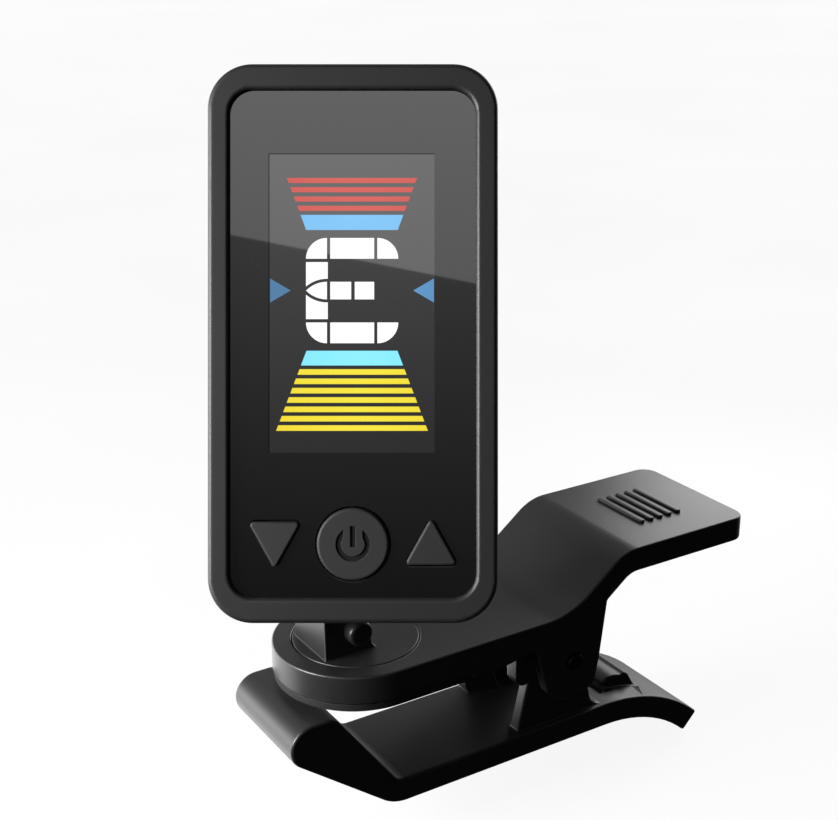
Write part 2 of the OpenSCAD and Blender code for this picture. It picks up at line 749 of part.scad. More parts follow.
module backlight_leds() {
    color([0.95, 0.9, 0.6]) at_head() for (x = [-1, 0, 1])
        translate([x * lcd_w / 3.5 - 0.8, guide_y + 0.02, lcd_low - 1.75]) cube([1.6, guide_t, 1]);
}

module lcd_connector() {
    color([0.2, 0.2, 0.22]) at_head()
        translate([-lcd_w / 2 + 0.8, guide_y, lcd_low + lcd_h - 2.1]) cube([lcd_w - 1.6, guide_t, 1.2]);
}

// Board and what is on it -----------------------------------------------------------

module main_board() {
    color([0.05, 0.3, 0.15]) at_head() difference() {
        slab(board_y, board_back)
            round_rect(inner_w - 2 * free_gap, inner_h - 2 * free_gap, inner_r, head_wall + free_gap);
        for (x = [-1, 1], z = [boss_low, boss_high])
            translate([x * boss_x, 0, z]) bar_y(tube_r + free_gap, 0, head_t);
    }
}

module controller_chip() {
    color([0.06, 0.06, 0.06]) at_head()
        translate([-3.4, board_back + set_gap, cell_z + cell_r + 4.2]) cube([6.8, 0.9, 6.8]);
}

module timing_crystal() {
    color([0.75, 0.75, 0.77]) at_head()
        translate([5.6, board_back + set_gap, cell_z + cell_r + 5.4]) cube([3.4, 1.1, 1.6]);
}

module key_switches() {
    color([0.75, 0.75, 0.77]) at_head() for (x = [-arrow_x, 0, arrow_x])
        translate([x, 0, power_z]) bar_y(2, board_y - set_gap - dome_t, board_y - set_gap);
}

module piezo_sensor() {
    color([0.8, 0.65, 0.3]) at_head() translate([0, 0, 9]) bar_y(5, back_in - 0.5, back_in - set_gap);
}

// Battery ------------------------------------------------------------------------------

module coin_cell() {
    color([0.75, 0.75, 0.77]) at_head() translate([0, 0, cell_z]) {
        bar_y(cell_r - 1.1, cell_y, cell_y + 0.3 + eps);
        bar_y(cell_r, cell_y + 0.3, cell_y + cell_t);
    }
}

module cell_minus_clip() {
    color([0.8, 0.7, 0.4]) at_head()
        translate([-2.5, board_back + set_gap, cell_z - 5]) cube([5, 0.14, 10]);
}

module cell_plus_clip() {
    color([0.8, 0.7, 0.4]) at_head() for (a = [-38, 0, 38])
        translate([0, 0, cell_z]) rotate([0, a, 0])
            translate([-1.2, board_back + set_gap, -cell_r - 0.5]) cube([2.4, 2.1, 0.3]);
    color([0.8, 0.7, 0.4]) at_head() translate([0, 0, cell_z]) intersection() {
        difference() {
            bar_y(cell_r + 1.4, board_back + set_gap, board_back + 0.17);
            bar_y(cell_r + 0.2, 0, head_t);
        }
        translate([-8, 0, -cell_r - 2]) cube([16, head_t, 6]);
    }
}

module battery_door() {
    color([0.08, 0.08, 0.08]) at_head() translate([0, 0, cell_z]) {
        difference() {
            union() {
                bar_y(door_r, head_t - door_t, head_t);
                bar_y(door_rim_r, head_t - rim_disc_t, head_t);
                difference() {
                    bar_y(door_r, lug_y, head_t - door_t + eps);
                    bar_y(cell_r + free_gap, 0, head_t);
                }
                for (a = [0, 180]) rotate([0, a, 0]) rotate([90, 0, 0]) translate([0, 0, -lug_y - lug_t])
                    rotate([0, 0, -lug_angle / 2]) rotate_extrude(angle = lug_angle)
                        translate([door_r - 0.3, 0]) square([lug_l + 0.3, lug_t]);
            }
            translate([-coin_slot_l / 2, head_t - coin_slot_deep, -coin_slot_w / 2])
                cube([coin_slot_l, 1, coin_slot_w]);
        }
    }
}

// Buttons -------------------------------------------------------------------------------

module button_plunger(x) {
    translate([x, 0, power_z]) bar_y(1, button_back, plunger_end);
}

// Ring with a gap at the top, and an upright bar in the gap
module power_mark() {
    difference() {
        circle(mark_r);
        circle(mark_r - mark_line);
        translate([-mark_gap / 2, 0]) square([mark_gap, power_r]);
    }
    translate([-mark_line / 2, -mark_line / 2]) square([mark_line, mark_r + mark_line]);
}

module power_button() {
    color([0.13, 0.13, 0.13]) at_head() {
        difference() {
            translate([0, 0, power_z]) bar_y(power_r, lens_y - button_proud, button_back + button_flange);
            slab(-1, lens_y - button_proud + mark_deep) translate([0, power_z]) power_mark();
        }
        translate([0, 0, power_z]) bar_y(power_r + button_rim, button_back, button_back + button_flange);
        button_plunger(0);
    }
}

module arrow_button(point_up) {
    color([0.13, 0.13, 0.13]) at_head() {
        slab(lens_y - button_proud, button_back + button_flange) arrow_outline(0, point_up);
        slab(button_back, button_back + button_flange) arrow_outline(button_rim, point_up);
        button_plunger(point_up ? arrow_x : -arrow_x);
    }
}

module up_button() {
    arrow_button(true);
}

module down_button() {
    arrow_button(false);
}

upper_jaw();
grip_pad();
lower_jaw();
hinge_pin();
torsion_spring();
turntable();
turntable_washer();
turntable_screw();
tilt_pin();
tilt_nut();
knuckle();
swivel_keeper();
front_cover();
rear_cover();
display_lens();
lcd_panel();
light_guide();
backlight_leds();
lcd_connector();
main_board();
controller_chip();
timing_crystal();
key_switches();
piezo_sensor();
coin_cell();
cell_plus_clip();
cell_minus_clip();
battery_door();
cover_screws();
power_button();
up_button();
down_button();
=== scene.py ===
"""Clip-on tuner: its looks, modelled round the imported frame, in metres and in the frame's own axes."""

import json
import logging
import math
from dataclasses import dataclass, field
from enum import Enum
from typing import Any, Callable, Optional, Sequence, Union

import bpy
from mathutils import Matrix, Vector


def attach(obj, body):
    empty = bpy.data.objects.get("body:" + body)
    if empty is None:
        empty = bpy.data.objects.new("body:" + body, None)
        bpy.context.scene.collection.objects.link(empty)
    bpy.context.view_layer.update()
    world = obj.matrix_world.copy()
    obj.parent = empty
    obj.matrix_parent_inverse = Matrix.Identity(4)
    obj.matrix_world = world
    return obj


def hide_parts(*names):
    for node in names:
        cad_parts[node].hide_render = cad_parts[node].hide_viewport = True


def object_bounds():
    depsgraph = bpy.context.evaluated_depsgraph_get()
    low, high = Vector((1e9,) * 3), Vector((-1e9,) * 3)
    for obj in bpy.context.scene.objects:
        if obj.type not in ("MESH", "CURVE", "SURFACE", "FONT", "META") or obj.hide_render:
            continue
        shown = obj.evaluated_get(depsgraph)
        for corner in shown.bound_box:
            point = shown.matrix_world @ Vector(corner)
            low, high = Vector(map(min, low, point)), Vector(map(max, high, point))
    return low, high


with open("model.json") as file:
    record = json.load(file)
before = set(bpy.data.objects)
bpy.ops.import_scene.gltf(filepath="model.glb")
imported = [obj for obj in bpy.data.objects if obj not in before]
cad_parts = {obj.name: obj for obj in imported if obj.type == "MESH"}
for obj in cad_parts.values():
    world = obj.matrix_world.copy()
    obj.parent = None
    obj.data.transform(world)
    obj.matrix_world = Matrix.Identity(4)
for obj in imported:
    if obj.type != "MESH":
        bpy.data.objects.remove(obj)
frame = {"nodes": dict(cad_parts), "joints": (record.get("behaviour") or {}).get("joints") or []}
CAD_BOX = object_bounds()

# MM is a millimetre in metres. In millimetres, FIT is the gap between pieces that meet, PAST how far a
# cutting tool runs past a face, and HAIR how near a face a point counts as lying on it. RUBBED names
# the attribute that marks the strips of softened edges.
MM = 0.001
FIT = 0.02
PAST = 1.0
HAIR = 0.01
RUBBED = "rubbed"
LOG = logging.getLogger("tuner")
Flat = tuple[float, float]
Triple = tuple[float, float, float]
Colour = Triple
Step = tuple[float, ...]
Piece = bpy.types.Object
Socket = bpy.types.NodeSocket
Material = bpy.types.Material


# Shader maths ---------------------------------------------------------------


class Level:
    """A number that changes over a surface: one socket, with arithmetic on it."""

    def __init__(self, bench: "ShaderBench", socket: Socket) -> None:
        """Wraps a socket of a bench's node tree."""
        self.bench = bench
        self.socket = socket

    def _with(self, operation: str, *terms: Any) -> "Level":
        """Adds one Math node whose inputs are the terms, numbers or levels."""
        made = self.bench.node("ShaderNodeMath", {"operation": operation}, dict(enumerate(terms)))
        return Level(self.bench, made.outputs[0])

    def __add__(self, other: Any) -> "Level":
        """self + other."""
        return self._with("ADD", self, other)

    __radd__ = __add__

    def __sub__(self, other: Any) -> "Level":
        """self - other."""
        return self._with("SUBTRACT", self, other)

    def __rsub__(self, other: Any) -> "Level":
        """other - self."""
        return self._with("SUBTRACT", other, self)

    def __mul__(self, other: Any) -> "Level":
        """self * other."""
        return self._with("MULTIPLY", self, other)

    __rmul__ = __mul__

    def __pow__(self, other: Any) -> "Level":
        """self ** other."""
        return self._with("POWER", self, other)

    def wave(self) -> "Level":
        """A sine of self, brought between 0 and 1."""
        return self._with("SINE", self) * 0.5 + 0.5

    def smooth(self, low: float, high: float) -> "Level":
        """Steps softly from 0 at low to 1 at high; with low above high it falls instead.

        Args:
            low: where the step is 0.
            high: where the step is 1.

        Returns:
            The soft step.
        """
        inputs = {0: self, 1: low, 2: high, 3: 0.0, 4: 1.0}
        made = self.bench.node("ShaderNodeMapRange", {"interpolation_type": "SMOOTHSTEP"}, inputs)
        return Level(self.bench, made.outputs[0])


class ShaderBench:
    """Builds one node tree, a material's or the world's."""

    def __init__(self, tree: bpy.types.NodeTree) -> None:
        """Empties the tree and keeps it."""
        self.tree = tree
        tree.nodes.clear()

    def node(self, kind: str, settings: dict[str, Any], inputs: dict[Any, Any]) -> bpy.types.Node:
        """Adds any node.

        Args:
            kind: the node's type.
            settings: its properties, which are set first.
            inputs: its sockets by number or name, each a value, a Level or another node's socket.

        Returns:
            The node.
        """
        made = self.tree.nodes.new(kind)
        for name, value in settings.items():
            setattr(made, name, value)
        for key, value in inputs.items():
            if isinstance(value, Level):
                value = value.socket
            if isinstance(value, Socket):
                self.tree.links.new(value, made.inputs[key])
            else:
                made.inputs[key].default_value = value
        return made

    def place(self, axes: Optional[Matrix] = None, stretch: Triple = (1.0, 1.0, 1.0)) -> Socket:
        """Coordinates in metres, in the frame's axes or in a piece's own.

        Args:
            axes: the piece's own axes, or None for the frame's.
            stretch: how much longer a pattern is along each axis.

        Returns:
            The coordinates' socket.
        """
        where = self.node("ShaderNodeTexCoord", {}, {}).outputs["Object"]
        if axes is not None:
            inputs = {"Vector": where, "Location": axes.to_translation(), "Rotation": axes.to_euler()}
            where = self.node("ShaderNodeMapping", {"vector_type": "TEXTURE"}, inputs).outputs[0]
        if stretch != (1.0, 1.0, 1.0):
            inputs = {"Vector": where, "Scale": tuple(1.0 / part for part in stretch)}
            where = self.node("ShaderNodeMapping", {}, inputs).outputs[0]
        return where

    def axis(self, where: Socket, which: int) -> Level:
        """One coordinate of a place, in metres."""
        return Level(self, self.node("ShaderNodeSeparateXYZ", {}, {0: where}).outputs[which])

    def noise(self, where: Socket, grain_mm: float, detail: float = 3.0) -> Level:
        """Cloudy noise from 0 to 1.

        Args:
            where: the coordinates.
            grain_mm: size of one patch.
            detail: how many finer layers lie on it.

        Returns:
            The noise.
        """
        inputs = {"Vector": where, "Scale": 1.0 / (grain_mm * MM), "Detail": detail, "Roughness": 0.55}
        return Level(self, self.node("ShaderNodeTexNoise", {}, inputs).outputs[0])

    def cells(self, where: Socket, size_mm: float, feature: str = "F1") -> Level:
        """Distance inside a cell pattern, in cells.

        Args:
            where: the coordinates.
            size_mm: size of one cell.
            feature: which distance is given, such as the one to the cell's edge.

        Returns:
            The distance.
        """
        inputs = {"Vector": where, "Scale": 1.0 / (size_mm * MM)}
        made = self.node("ShaderNodeTexVoronoi", {"feature": feature}, inputs)
        return Level(self, made.outputs["Distance"])

    def tint(self, low: Union[Colour, Socket], high: Colour, by: Level) -> Socket:
        """A colour that goes from low to high as a level goes from 0 to 1."""
        inputs = {0: by, 6: low if isinstance(low, Socket) else (*low, 1.0), 7: (*high, 1.0)}
        return self.node("ShaderNodeMix", {"data_type": "RGBA"}, inputs).outputs[2]

    def relief(self, height: Level, depth_mm: float, under: Optional[Socket] = None) -> Socket:
        """A bumped normal.

        Args:
            height: 0 to 1 over the surface.
            depth_mm: real depth of the relief.
            under: the normal that this relief lies on, or None.

        Returns:
            The normal's socket.
        """
        inputs: dict[Any, Any] = {"Height": height, "Distance": depth_mm * MM, "Strength": 1.0}
        if under is not None:
            inputs["Normal"] = under
        return self.node("ShaderNodeBump", {}, inputs).outputs[0]

    def worn_edges(self) -> Level:
        """0 on broad faces, 1 on the thin strips of a softened edge."""
        made = self.node("ShaderNodeAttribute", {"attribute_name": RUBBED}, {})
        return Level(self, made.outputs["Fac"])

    def surface(self, **inputs: Any) -> None:
        """Ends a material's tree with its surface; words are socket names with _ for a space."""
        named = {key.replace("_", " "): value for key, value in inputs.items()}
        skin = self.node("ShaderNodeBsdfPrincipled", {}, named)
        self.node("ShaderNodeOutputMaterial", {}, {"Surface": skin.outputs[0]})


# Finishes ---------------------------------------------------------------------


@dataclass(frozen=True)
class Finish:
    """Any finish: a name, and a recipe that fills a bench."""

    name: str

    def recipe(self, bench: ShaderBench) -> None:
        """Builds the finish on a bench."""
        raise NotImplementedError

    def make(self) -> Material:
        """The finish as a material."""
        material = bpy.data.materials.new(self.name)
        material.use_nodes = True
        self.recipe(ShaderBench(material.node_tree))
        return material


@dataclass(frozen=True)
class MouldedPlastic(Finish):
    """Moulded plastic or rubber with an eroded grain, cloudy sheen and rubbed edges."""

    low: Colour
    high: Colour
    rough: float
    grain_mm: float = 0.16
    grain_depth_mm: float = 0.004
    edge_lift: float = 0.035
    gloss: float = 0.5
    cloud_mm: float = 9.0
    scuff_mm: float = 1.1
    wear_mm: float = 1.6

    def recipe(self, bench: ShaderBench) -> None:
        """Grain and fine dust over a broad, cloudy change of sheen, with paler, smoother edges."""
        where = bench.place()
        cloud = bench.noise(where, self.cloud_mm, 2.0)
        grain = bench.noise(where, self.grain_mm, 2.0)
        streaks = bench.place(None, (1.0, 6.0, 1.0))
        scuffs = bench.noise(streaks, self.scuff_mm, 4.0).smooth(0.62, 0.78)
        worn = bench.worn_edges() * bench.noise(where, self.wear_mm).smooth(0.3, 0.6)
        blend = cloud * 0.5 + grain * 0.35 + scuffs * 0.06
        edge = tuple(part + self.edge_lift for part in self.high)
        colour = bench.tint(bench.tint(self.low, self.high, blend), edge, worn * 0.6)
        rough = self.rough + (cloud - 0.5) * 0.04 + (grain - 0.5) * 0.08 + scuffs * 0.015
        rough = rough - worn * self.edge_lift * 2
        bench.surface(Base_Color=colour, Roughness=rough, Specular_IOR_Level=self.gloss,
                      Normal=bench.relief(grain, self.grain_depth_mm, bench.relief(cloud, 0.004)))


@dataclass(frozen=True)
class PolishedWindow(Finish):
    """Polished tinted acrylic, with faint wipe marks and specks of dust."""

    low: Colour
    high: Colour
    ior: float = 1.5
    wipe_mm: float = 1.4
    dust_mm: float = 0.9
    cloud_mm: float = 12.0
    wave_mm: float = 30.0

    def recipe(self, bench: ShaderBench) -> None:
        """A nearly mirror-smooth skin whose wipe marks only show in its sheen."""
        where = bench.place()
        wipes = bench.noise(bench.place(None, (5.0, 1.0, 1.6)), self.wipe_mm, 4.0)
        dust = bench.cells(where, self.dust_mm).smooth(0.10, 0.03) * bench.noise(where, 3.0).smooth(0.5, 0.7)
        cloud = bench.noise(where, self.cloud_mm, 1.0)
        wave = bench.noise(where, self.wave_mm, 0.0)
        bench.surface(Base_Color=bench.tint(self.low, self.high, cloud * 0.7 + dust * 0.3),
                      Roughness=0.012 + wipes * 0.012 + dust * 0.2, Specular_IOR_Level=1.0,
                      IOR=self.ior, Normal=bench.relief(wave, 0.01))


@dataclass(frozen=True)
class LitSegment(Finish):
    """A lit part of the display, seen through its filter, with the dot grid of the film over it."""

    low: Colour
    high: Colour
    body: Colour
    axes: Matrix = field(default_factory=Matrix)
    # painted shade: how much darker the light grows towards the display's left edge
    painted_shade_slope: float = 0.0
    half_mm: float = 8.0
    dot_mm: float = 0.16

    def recipe(self, bench: ShaderBench) -> None:
        """Light that is strongest in the display's middle and uneven from patch to patch, with painted shade
        that darkens it towards the display's left edge.
        """
        where = bench.place(self.axes)
        across = bench.axis(where, 0)
        half = self.half_mm * MM
        middle = 1.0 - (across * across) * (1.0 / half ** 2)
        patches = bench.noise(where, 2.4, 2.0)
        dots = (across * (2 * math.pi / (self.dot_mm * MM))).wave() * 0.06
        # the last term is painted shade: darker on the left, brighter on the right
        share = middle * 0.7 + patches * 0.35 - dots + across * (self.painted_shade_slope / half)
        bench.surface(Base_Color=(*self.body, 1.0), Roughness=0.06 + patches * 0.02, Specular_IOR_Level=0.3,
                      Emission_Color=bench.tint(self.low, self.high, share), Emission_Strength=1.0)


@dataclass(frozen=True)
class BrushedMetal(Finish):
    """Plated or drawn metal, with fine lines one way and cloudy tarnish."""

    low: Colour
    high: Colour
    rough: float
    stretch: Triple = (1.0, 14.0, 1.0)
    line_mm: float = 0.12

    def recipe(self, bench: ShaderBench) -> None:
        """Lines along one axis in the relief, the sheen and, faintly, the colour."""
        where = bench.place()
        lines = bench.noise(bench.place(None, self.stretch), self.line_mm, 3.0)
        tarnish = bench.noise(where, 2.2, 3.0)
        colour = bench.tint(self.low, self.high, lines * 0.45 + tarnish * 0.55)
        bench.surface(Base_Color=colour, Metallic=0.92 + tarnish * 0.08,
                      Roughness=self.rough + lines * 0.12 + tarnish * 0.08,
                      Normal=bench.relief(lines, 0.003))


@dataclass(frozen=True)
class CircuitBoard(Finish):
    """Solder mask over copper tracks, with tinned pads."""

    mask: Colour = (0.012, 0.10, 0.045)
    track: Colour = (0.03, 0.20, 0.085)
    pad: Colour = (0.62, 0.60, 0.55)

    def recipe(self, bench: ShaderBench) -> None:
        """Tracks along the edges of a cell pattern, and small round pads."""
        where = bench.place()
        tracks = bench.cells(where, 2.6, "DISTANCE_TO_EDGE").smooth(0.10, 0.07)
        pads = bench.cells(where, 1.9).smooth(0.20, 0.16)
        colour = bench.tint(bench.tint(self.mask, self.track, tracks), self.pad, pads)
        bench.surface(Base_Color=colour, Metallic=pads * 0.8,
                      Roughness=0.34 - pads * 0.08 + bench.noise(where, 0.8) * 0.08,
                      Normal=bench.relief(tracks + pads, 0.03))


@dataclass(frozen=True)
class MilkySheet(Finish):
    """Milky plastic, such as a light guide or a lamp's cap."""

    low: Colour
    high: Colour
    glow: float

    def recipe(self, bench: ShaderBench) -> None:
        """Soft clouds under rows of fine printed dots."""
        where = bench.place()
        clouds = bench.noise(where, 5.0, 2.0)
        dots = bench.cells(where, 0.5).smooth(0.30, 0.18)
        colour = bench.tint(self.low, self.high, clouds * 0.7 + dots * 0.3)
        bench.surface(Base_Color=colour, Roughness=0.22 + dots * 0.25, Emission_Color=colour,
                      Emission_Strength=self.glow, Normal=bench.relief(dots, 0.01))


@dataclass(frozen=True)
class StripedRubber(Finish):
    """Contact rubber: thin dark and light layers side by side."""

    low: Colour
    high: Colour
    pitch_mm: float
    axes: Matrix = field(default_factory=Matrix)

    def recipe(self, bench: ShaderBench) -> None:
        """Stripes across the strip's length."""
        where = bench.place(self.axes)
        stripes = (bench.axis(where, 0) * (2 * math.pi / (self.pitch_mm * MM))).wave().smooth(0.35, 0.65)
        bench.surface(Base_Color=bench.tint(self.low, self.high, stripes),
                      Roughness=0.6 + bench.noise(where, 0.4) * 0.15, Normal=bench.relief(stripes, 0.01))


@dataclass(frozen=True)
class PaleFloor(Finish):
    """Matt pale board that the object stands over."""

    low: Colour
    high: Colour
    glow: float

    def recipe(self, bench: ShaderBench) -> None:
        """A faint, broad mottle."""
        where = bench.place()
        colour = bench.tint(self.low, self.high, bench.noise(where, 90.0, 2.0))
        bench.surface(Base_Color=colour, Roughness=0.85, Emission_Color=colour, Emission_Strength=self.glow)


# Modelling --------------------------------------------------------------------


class Plane(Enum):
    """How an outline lies: upright along the clip and deepened along y, or flat and deepened along z."""

    UPRIGHT = "upright"
    FLAT = "flat"

    def point(self, across: float, up: float, level: float) -> Vector:
        """A point of the outline, given in millimetres, in metres."""
        spot = (across, level, up) if self is Plane.UPRIGHT else (across, up, level)
        return Vector(spot) * MM

    @property
    def spin_axis(self) -> Vector:
        """The axis that a positive turn of an arc goes round, in the sense that spin takes it."""
        return Vector((0, 1, 0)) if self is Plane.UPRIGHT else Vector((0, 0, -1))


class Workbench:
    """Modelling operators, each on the pieces that it is given and on nothing else."""

    @staticmethod
    def release() -> None:
        """Deselects everything."""
        bpy.ops.object.select_all(action="DESELECT")

    @staticmethod
    def hold(*pieces: Piece) -> None:
        """Selects these pieces alone and makes the first one active."""
        Workbench.release()
        for piece in pieces:
            piece.select_set(True)
        bpy.context.view_layer.objects.active = pieces[0]

    @staticmethod
    def start(name: str) -> Piece:
        """Names the primitive that was just added and moves its place into its mesh."""
        piece = bpy.context.active_object
        piece.name = name
        bpy.ops.object.transform_apply(location=True, rotation=True, scale=True)
        return piece

    @classmethod
    def point(cls, name: str, spot: Vector) -> Piece:
        """Starts a piece as a single point, in metres, and leaves it selected in edit mode."""
        Workbench.release()
        bpy.ops.mesh.primitive_plane_add(size=MM, location=spot)
        piece = cls.start(name)
        bpy.ops.object.mode_set(mode="EDIT")
        bpy.ops.mesh.select_mode(type="VERT")
        bpy.ops.mesh.select_all(action="SELECT")
        bpy.ops.mesh.merge(type="CENTER")
        return piece

    @classmethod
    def draw(cls, name: str, plane: Plane, low: float, high: float, steps: Sequence[Step],
             smooth_deg: float = 5.0) -> Piece:
        """Draws an outline from one point and gives it a depth.

        Args:
            name: the piece's name.
            plane: how the outline lies.
            low: where its depth starts, in millimetres.
            high: where its depth ends.
            steps: the first point, then each (across, up) a straight line goes to, or each
                (centre across, centre up, degrees) an arc turns through, anticlockwise if positive.
            smooth_deg: the largest angle of one piece of an arc.

        Returns:
            The closed piece.
        """
        here = plane.point(*steps[0], low)
        piece = cls.point(name, here)
        for step in steps[1:]:
            if len(step) == 2:
                there = plane.point(*step, low)
                bpy.ops.mesh.extrude_region_move(TRANSFORM_OT_translate={"value": there - here})
            else:
                centre, turn = plane.point(step[0], step[1], low), math.radians(step[2])
                count = max(2, math.ceil(abs(step[2]) / smooth_deg))
                bpy.ops.mesh.spin(steps=count, angle=turn, center=centre, axis=plane.spin_axis)
                there = centre + Matrix.Rotation(-turn, 3, plane.spin_axis) @ (here - centre)
            here = there
        bpy.ops.mesh.select_all(action="SELECT")
        bpy.ops.mesh.remove_doubles(threshold=0.002 * MM)
        bpy.ops.mesh.edge_face_add()
        depth = plane.point(0, 0, high - low)
        bpy.ops.mesh.extrude_region_move(TRANSFORM_OT_translate={"value": depth})
        bpy.ops.mesh.select_all(action="SELECT")
        bpy.ops.mesh.normals_make_consistent(inside=False)
        bpy.ops.object.mode_set(mode="OBJECT")
        return piece

    @classmethod
    def rod(cls, name: str, along: str, centre: Sequence[float], radius: float, low: float, high: float,
            sides: int = 72) -> Piece:
        """Adds a round bar.

        Args:
            name: the piece's name.
            along: the axis that it lies along, "y" or "z".
            centre: its other two coordinates, in millimetres.
            radius: its radius.
            low: where it starts on its axis.
            high: where it ends.
            sides: number of flats round it.

        Returns:
            The bar.
        """
        middle = (low + high) / 2
        spot = (centre[0], middle, centre[1]) if along == "y" else (centre[0], centre[1], middle)
        turn = (math.pi / 2, 0, 0) if along == "y" else (0, 0, 0)
        Workbench.release()
        bpy.ops.mesh.primitive_cylinder_add(vertices=sides, radius=radius * MM, depth=(high - low) * MM,
                                            location=Vector(spot) * MM, rotation=turn)
        return cls.start(name)

    @classmethod
    def block(cls, name: str, low: Sequence[float], high: Sequence[float]) -> Piece:
        """Adds a square block between two corners, in millimetres."""
        size = Vector(high) - Vector(low)
        Workbench.release()
        bpy.ops.mesh.primitive_cube_add(size=1.0, location=(Vector(low) + size / 2) * MM)
        bpy.context.active_object.scale = size * MM
        return cls.start(name)

    @classmethod
    def _boolean(cls, piece: Piece, tool: Piece, operation: str) -> None:
        """Runs one boolean and clears the tool away."""
        cls.hold(piece)
        step = piece.modifiers.new("shape", "BOOLEAN")
        step.operation, step.object, step.solver = operation, tool, "EXACT"
        bpy.ops.object.modifier_apply(modifier=step.name)
        bpy.data.objects.remove(tool)

    @classmethod
    def cut(cls, piece: Piece, *tools: Piece) -> None:
        """Cuts each tool out of the piece."""
        for tool in tools:
            cls._boolean(piece, tool, "DIFFERENCE")

    @classmethod
    def weld(cls, piece: Piece, *others: Piece) -> None:
        """Makes each other solid part of the piece."""
        for other in others:
            cls._boolean(piece, other, "UNION")

    @classmethod
    def keep_inside(cls, piece: Piece, tool: Piece) -> None:
        """Keeps only what lies inside the tool."""
        cls._boolean(piece, tool, "INTERSECT")

    @classmethod
    def round_edges(cls, piece: Piece, pick: Callable[..., bool], width: float,
                    segments: int) -> None:
        """Rounds chosen edges.

        Args:
            piece: the piece.
            pick: says of an edge's two ends, in metres, whether it is rounded.
            width: the rounding's width in millimetres.
            segments: how many strips make it.
        """
        cls.hold(piece)
        mesh = piece.data
        for part in (mesh.polygons, mesh.edges, mesh.vertices):
            part.foreach_set("select", [False] * len(part))
        for edge in mesh.edges:
            edge.select = pick(*(mesh.vertices[end].co for end in edge.vertices))
        bpy.context.tool_settings.mesh_select_mode = (False, True, False)
        bpy.ops.object.mode_set(mode="EDIT")
        bpy.ops.mesh.bevel(offset=width * MM, segments=segments, affect="EDGES", clamp_overlap=True)
        bpy.ops.object.mode_set(mode="OBJECT")

    @classmethod
    def round_rim(cls, piece: Piece, axis: int, level: float, width: float, segments: int) -> None:
        """Rounds the edges that lie on one flat face.

        Args:
            piece: the piece.
            axis: the number of the axis that the face looks along.
            level: the face's place on that axis, in millimetres.
            width: the rounding's width in millimetres.
            segments: how many strips make it.
        """
        cls.round_edges(piece, lambda *ends: all(abs(end[axis] - level * MM) < HAIR * MM for end in ends),
                        width, segments)

    @classmethod
    def clean(cls, piece: Piece) -> None:
        """Merges doubles and joins faces that lie in one plane."""
        cls.hold(piece)
        bpy.ops.object.mode_set(mode="EDIT")
        bpy.ops.mesh.select_all(action="SELECT")
        bpy.ops.mesh.remove_doubles(threshold=0.004 * MM)
        bpy.ops.mesh.dissolve_limited(angle_limit=math.radians(0.6))
        bpy.ops.mesh.normals_make_consistent(inside=False)
        bpy.ops.object.mode_set(mode="OBJECT")

    @classmethod
    def soften(cls, piece: Piece, width: float, segments: int = 3, from_deg: float = 34.0) -> Piece:
        """Gives every crisp edge a small radius and smooths the rest.

        Args:
            piece: the piece.
            width: the radius' width in millimetres.
            segments: how many strips make it.
            from_deg: edges sharper than this are softened.

        Returns:
            The piece.
        """
        cls.clean(piece)
        step = piece.modifiers.new("edges", "BEVEL")
        step.width, step.segments, step.angle_limit = width * MM, segments, math.radians(from_deg)
        step.limit_method, step.use_clamp_overlap = "ANGLE", False
        bpy.ops.object.modifier_apply(modifier=step.name)
        cls.mark_strips(piece, 0.6 * width / segments + 0.04)
        bpy.ops.object.shade_smooth_by_angle(angle=math.radians(40))
        step = piece.modifiers.new("sheen", "WEIGHTED_NORMAL")
        step.keep_sharp = True
        bpy.ops.object.modifier_apply(modifier=step.name)
        return piece

    @staticmethod
    def mark_strips(piece: Piece, width: float) -> None:
        """Writes which faces are narrower than a width in millimetres, for the rubbed look of edges."""
        mesh = piece.data
        spots = [vertex.co for vertex in mesh.vertices]
        marks = [0.0] * len(mesh.loops)
        for face in mesh.polygons:
            ring = [spots[corner] for corner in face.vertices]
            longest = max((here - there).length for here, there in zip(ring, ring[1:] + ring[:1]))
            if face.area < longest * width * MM:
                marks[face.loop_start:face.loop_start + face.loop_total] = [1.0] * face.loop_total
        mesh.attributes.new(RUBBED, "FLOAT", "CORNER").data.foreach_set("value", marks)

    @classmethod
    def place(cls, piece: Piece, axes: Matrix) -> Piece:
        """Moves a piece drawn in its own axes into the frame, through its mesh."""
        cls.hold(piece)
        piece.matrix_world = axes
        bpy.ops.object.transform_apply(location=True, rotation=True, scale=True)
        return piece

    @classmethod
    def twin(cls, piece: Piece, name: str, move: Sequence[float]) -> Piece:
        """Copies a piece, with its own mesh, and moves the copy by millimetres."""
        cls.hold(piece)
        bpy.ops.object.duplicate(linked=False)
        copy = bpy.context.active_object
        copy.location = Vector(move) * MM
        return cls.start(name)

    @classmethod
    def join(cls, name: str, pieces: Sequence[Piece]) -> Piece:
        """Joins pieces into one of that name."""
        cls.hold(*pieces)
        bpy.ops.object.join()
        pieces[0].name = name
        return pieces[0]


def mirrored(steps: Sequence[Step], across: Optional[float] = None, up: Optional[float] = None) -> list[Step]:
    """Mirrors an outline's steps.

    Args:
        steps: the outline.
        across: the upright line that they are mirrored in, or None.
        up: the level line that they are mirrored in, or None.

    Returns:
        The mirrored outline.
    """
    flipped = []
    for step in steps:
        x = step[0] if across is None else 2 * across - step[0]
        z = step[1] if up is None else 2 * up - step[1]
        turns = (-step[2],) if len(step) == 3 and (across is None) != (up is None) else step[2:]
        flipped.append((x, z, *turns))
    return flipped


def round_rect(width: float, height: float, radius: float, base: float = 0.0) -> list[Step]:
    """The outline of a round-cornered rectangle, centred across and standing on base."""
    side, low, high = width / 2 - radius, base + radius, base + height - radius
    return [(-side, base), (side, base), (side, low, 90), (side + radius, high), (side, high, 90),
            (-side, base + height), (-side, high, 90), (-side - radius, low), (-side, low, 90)]


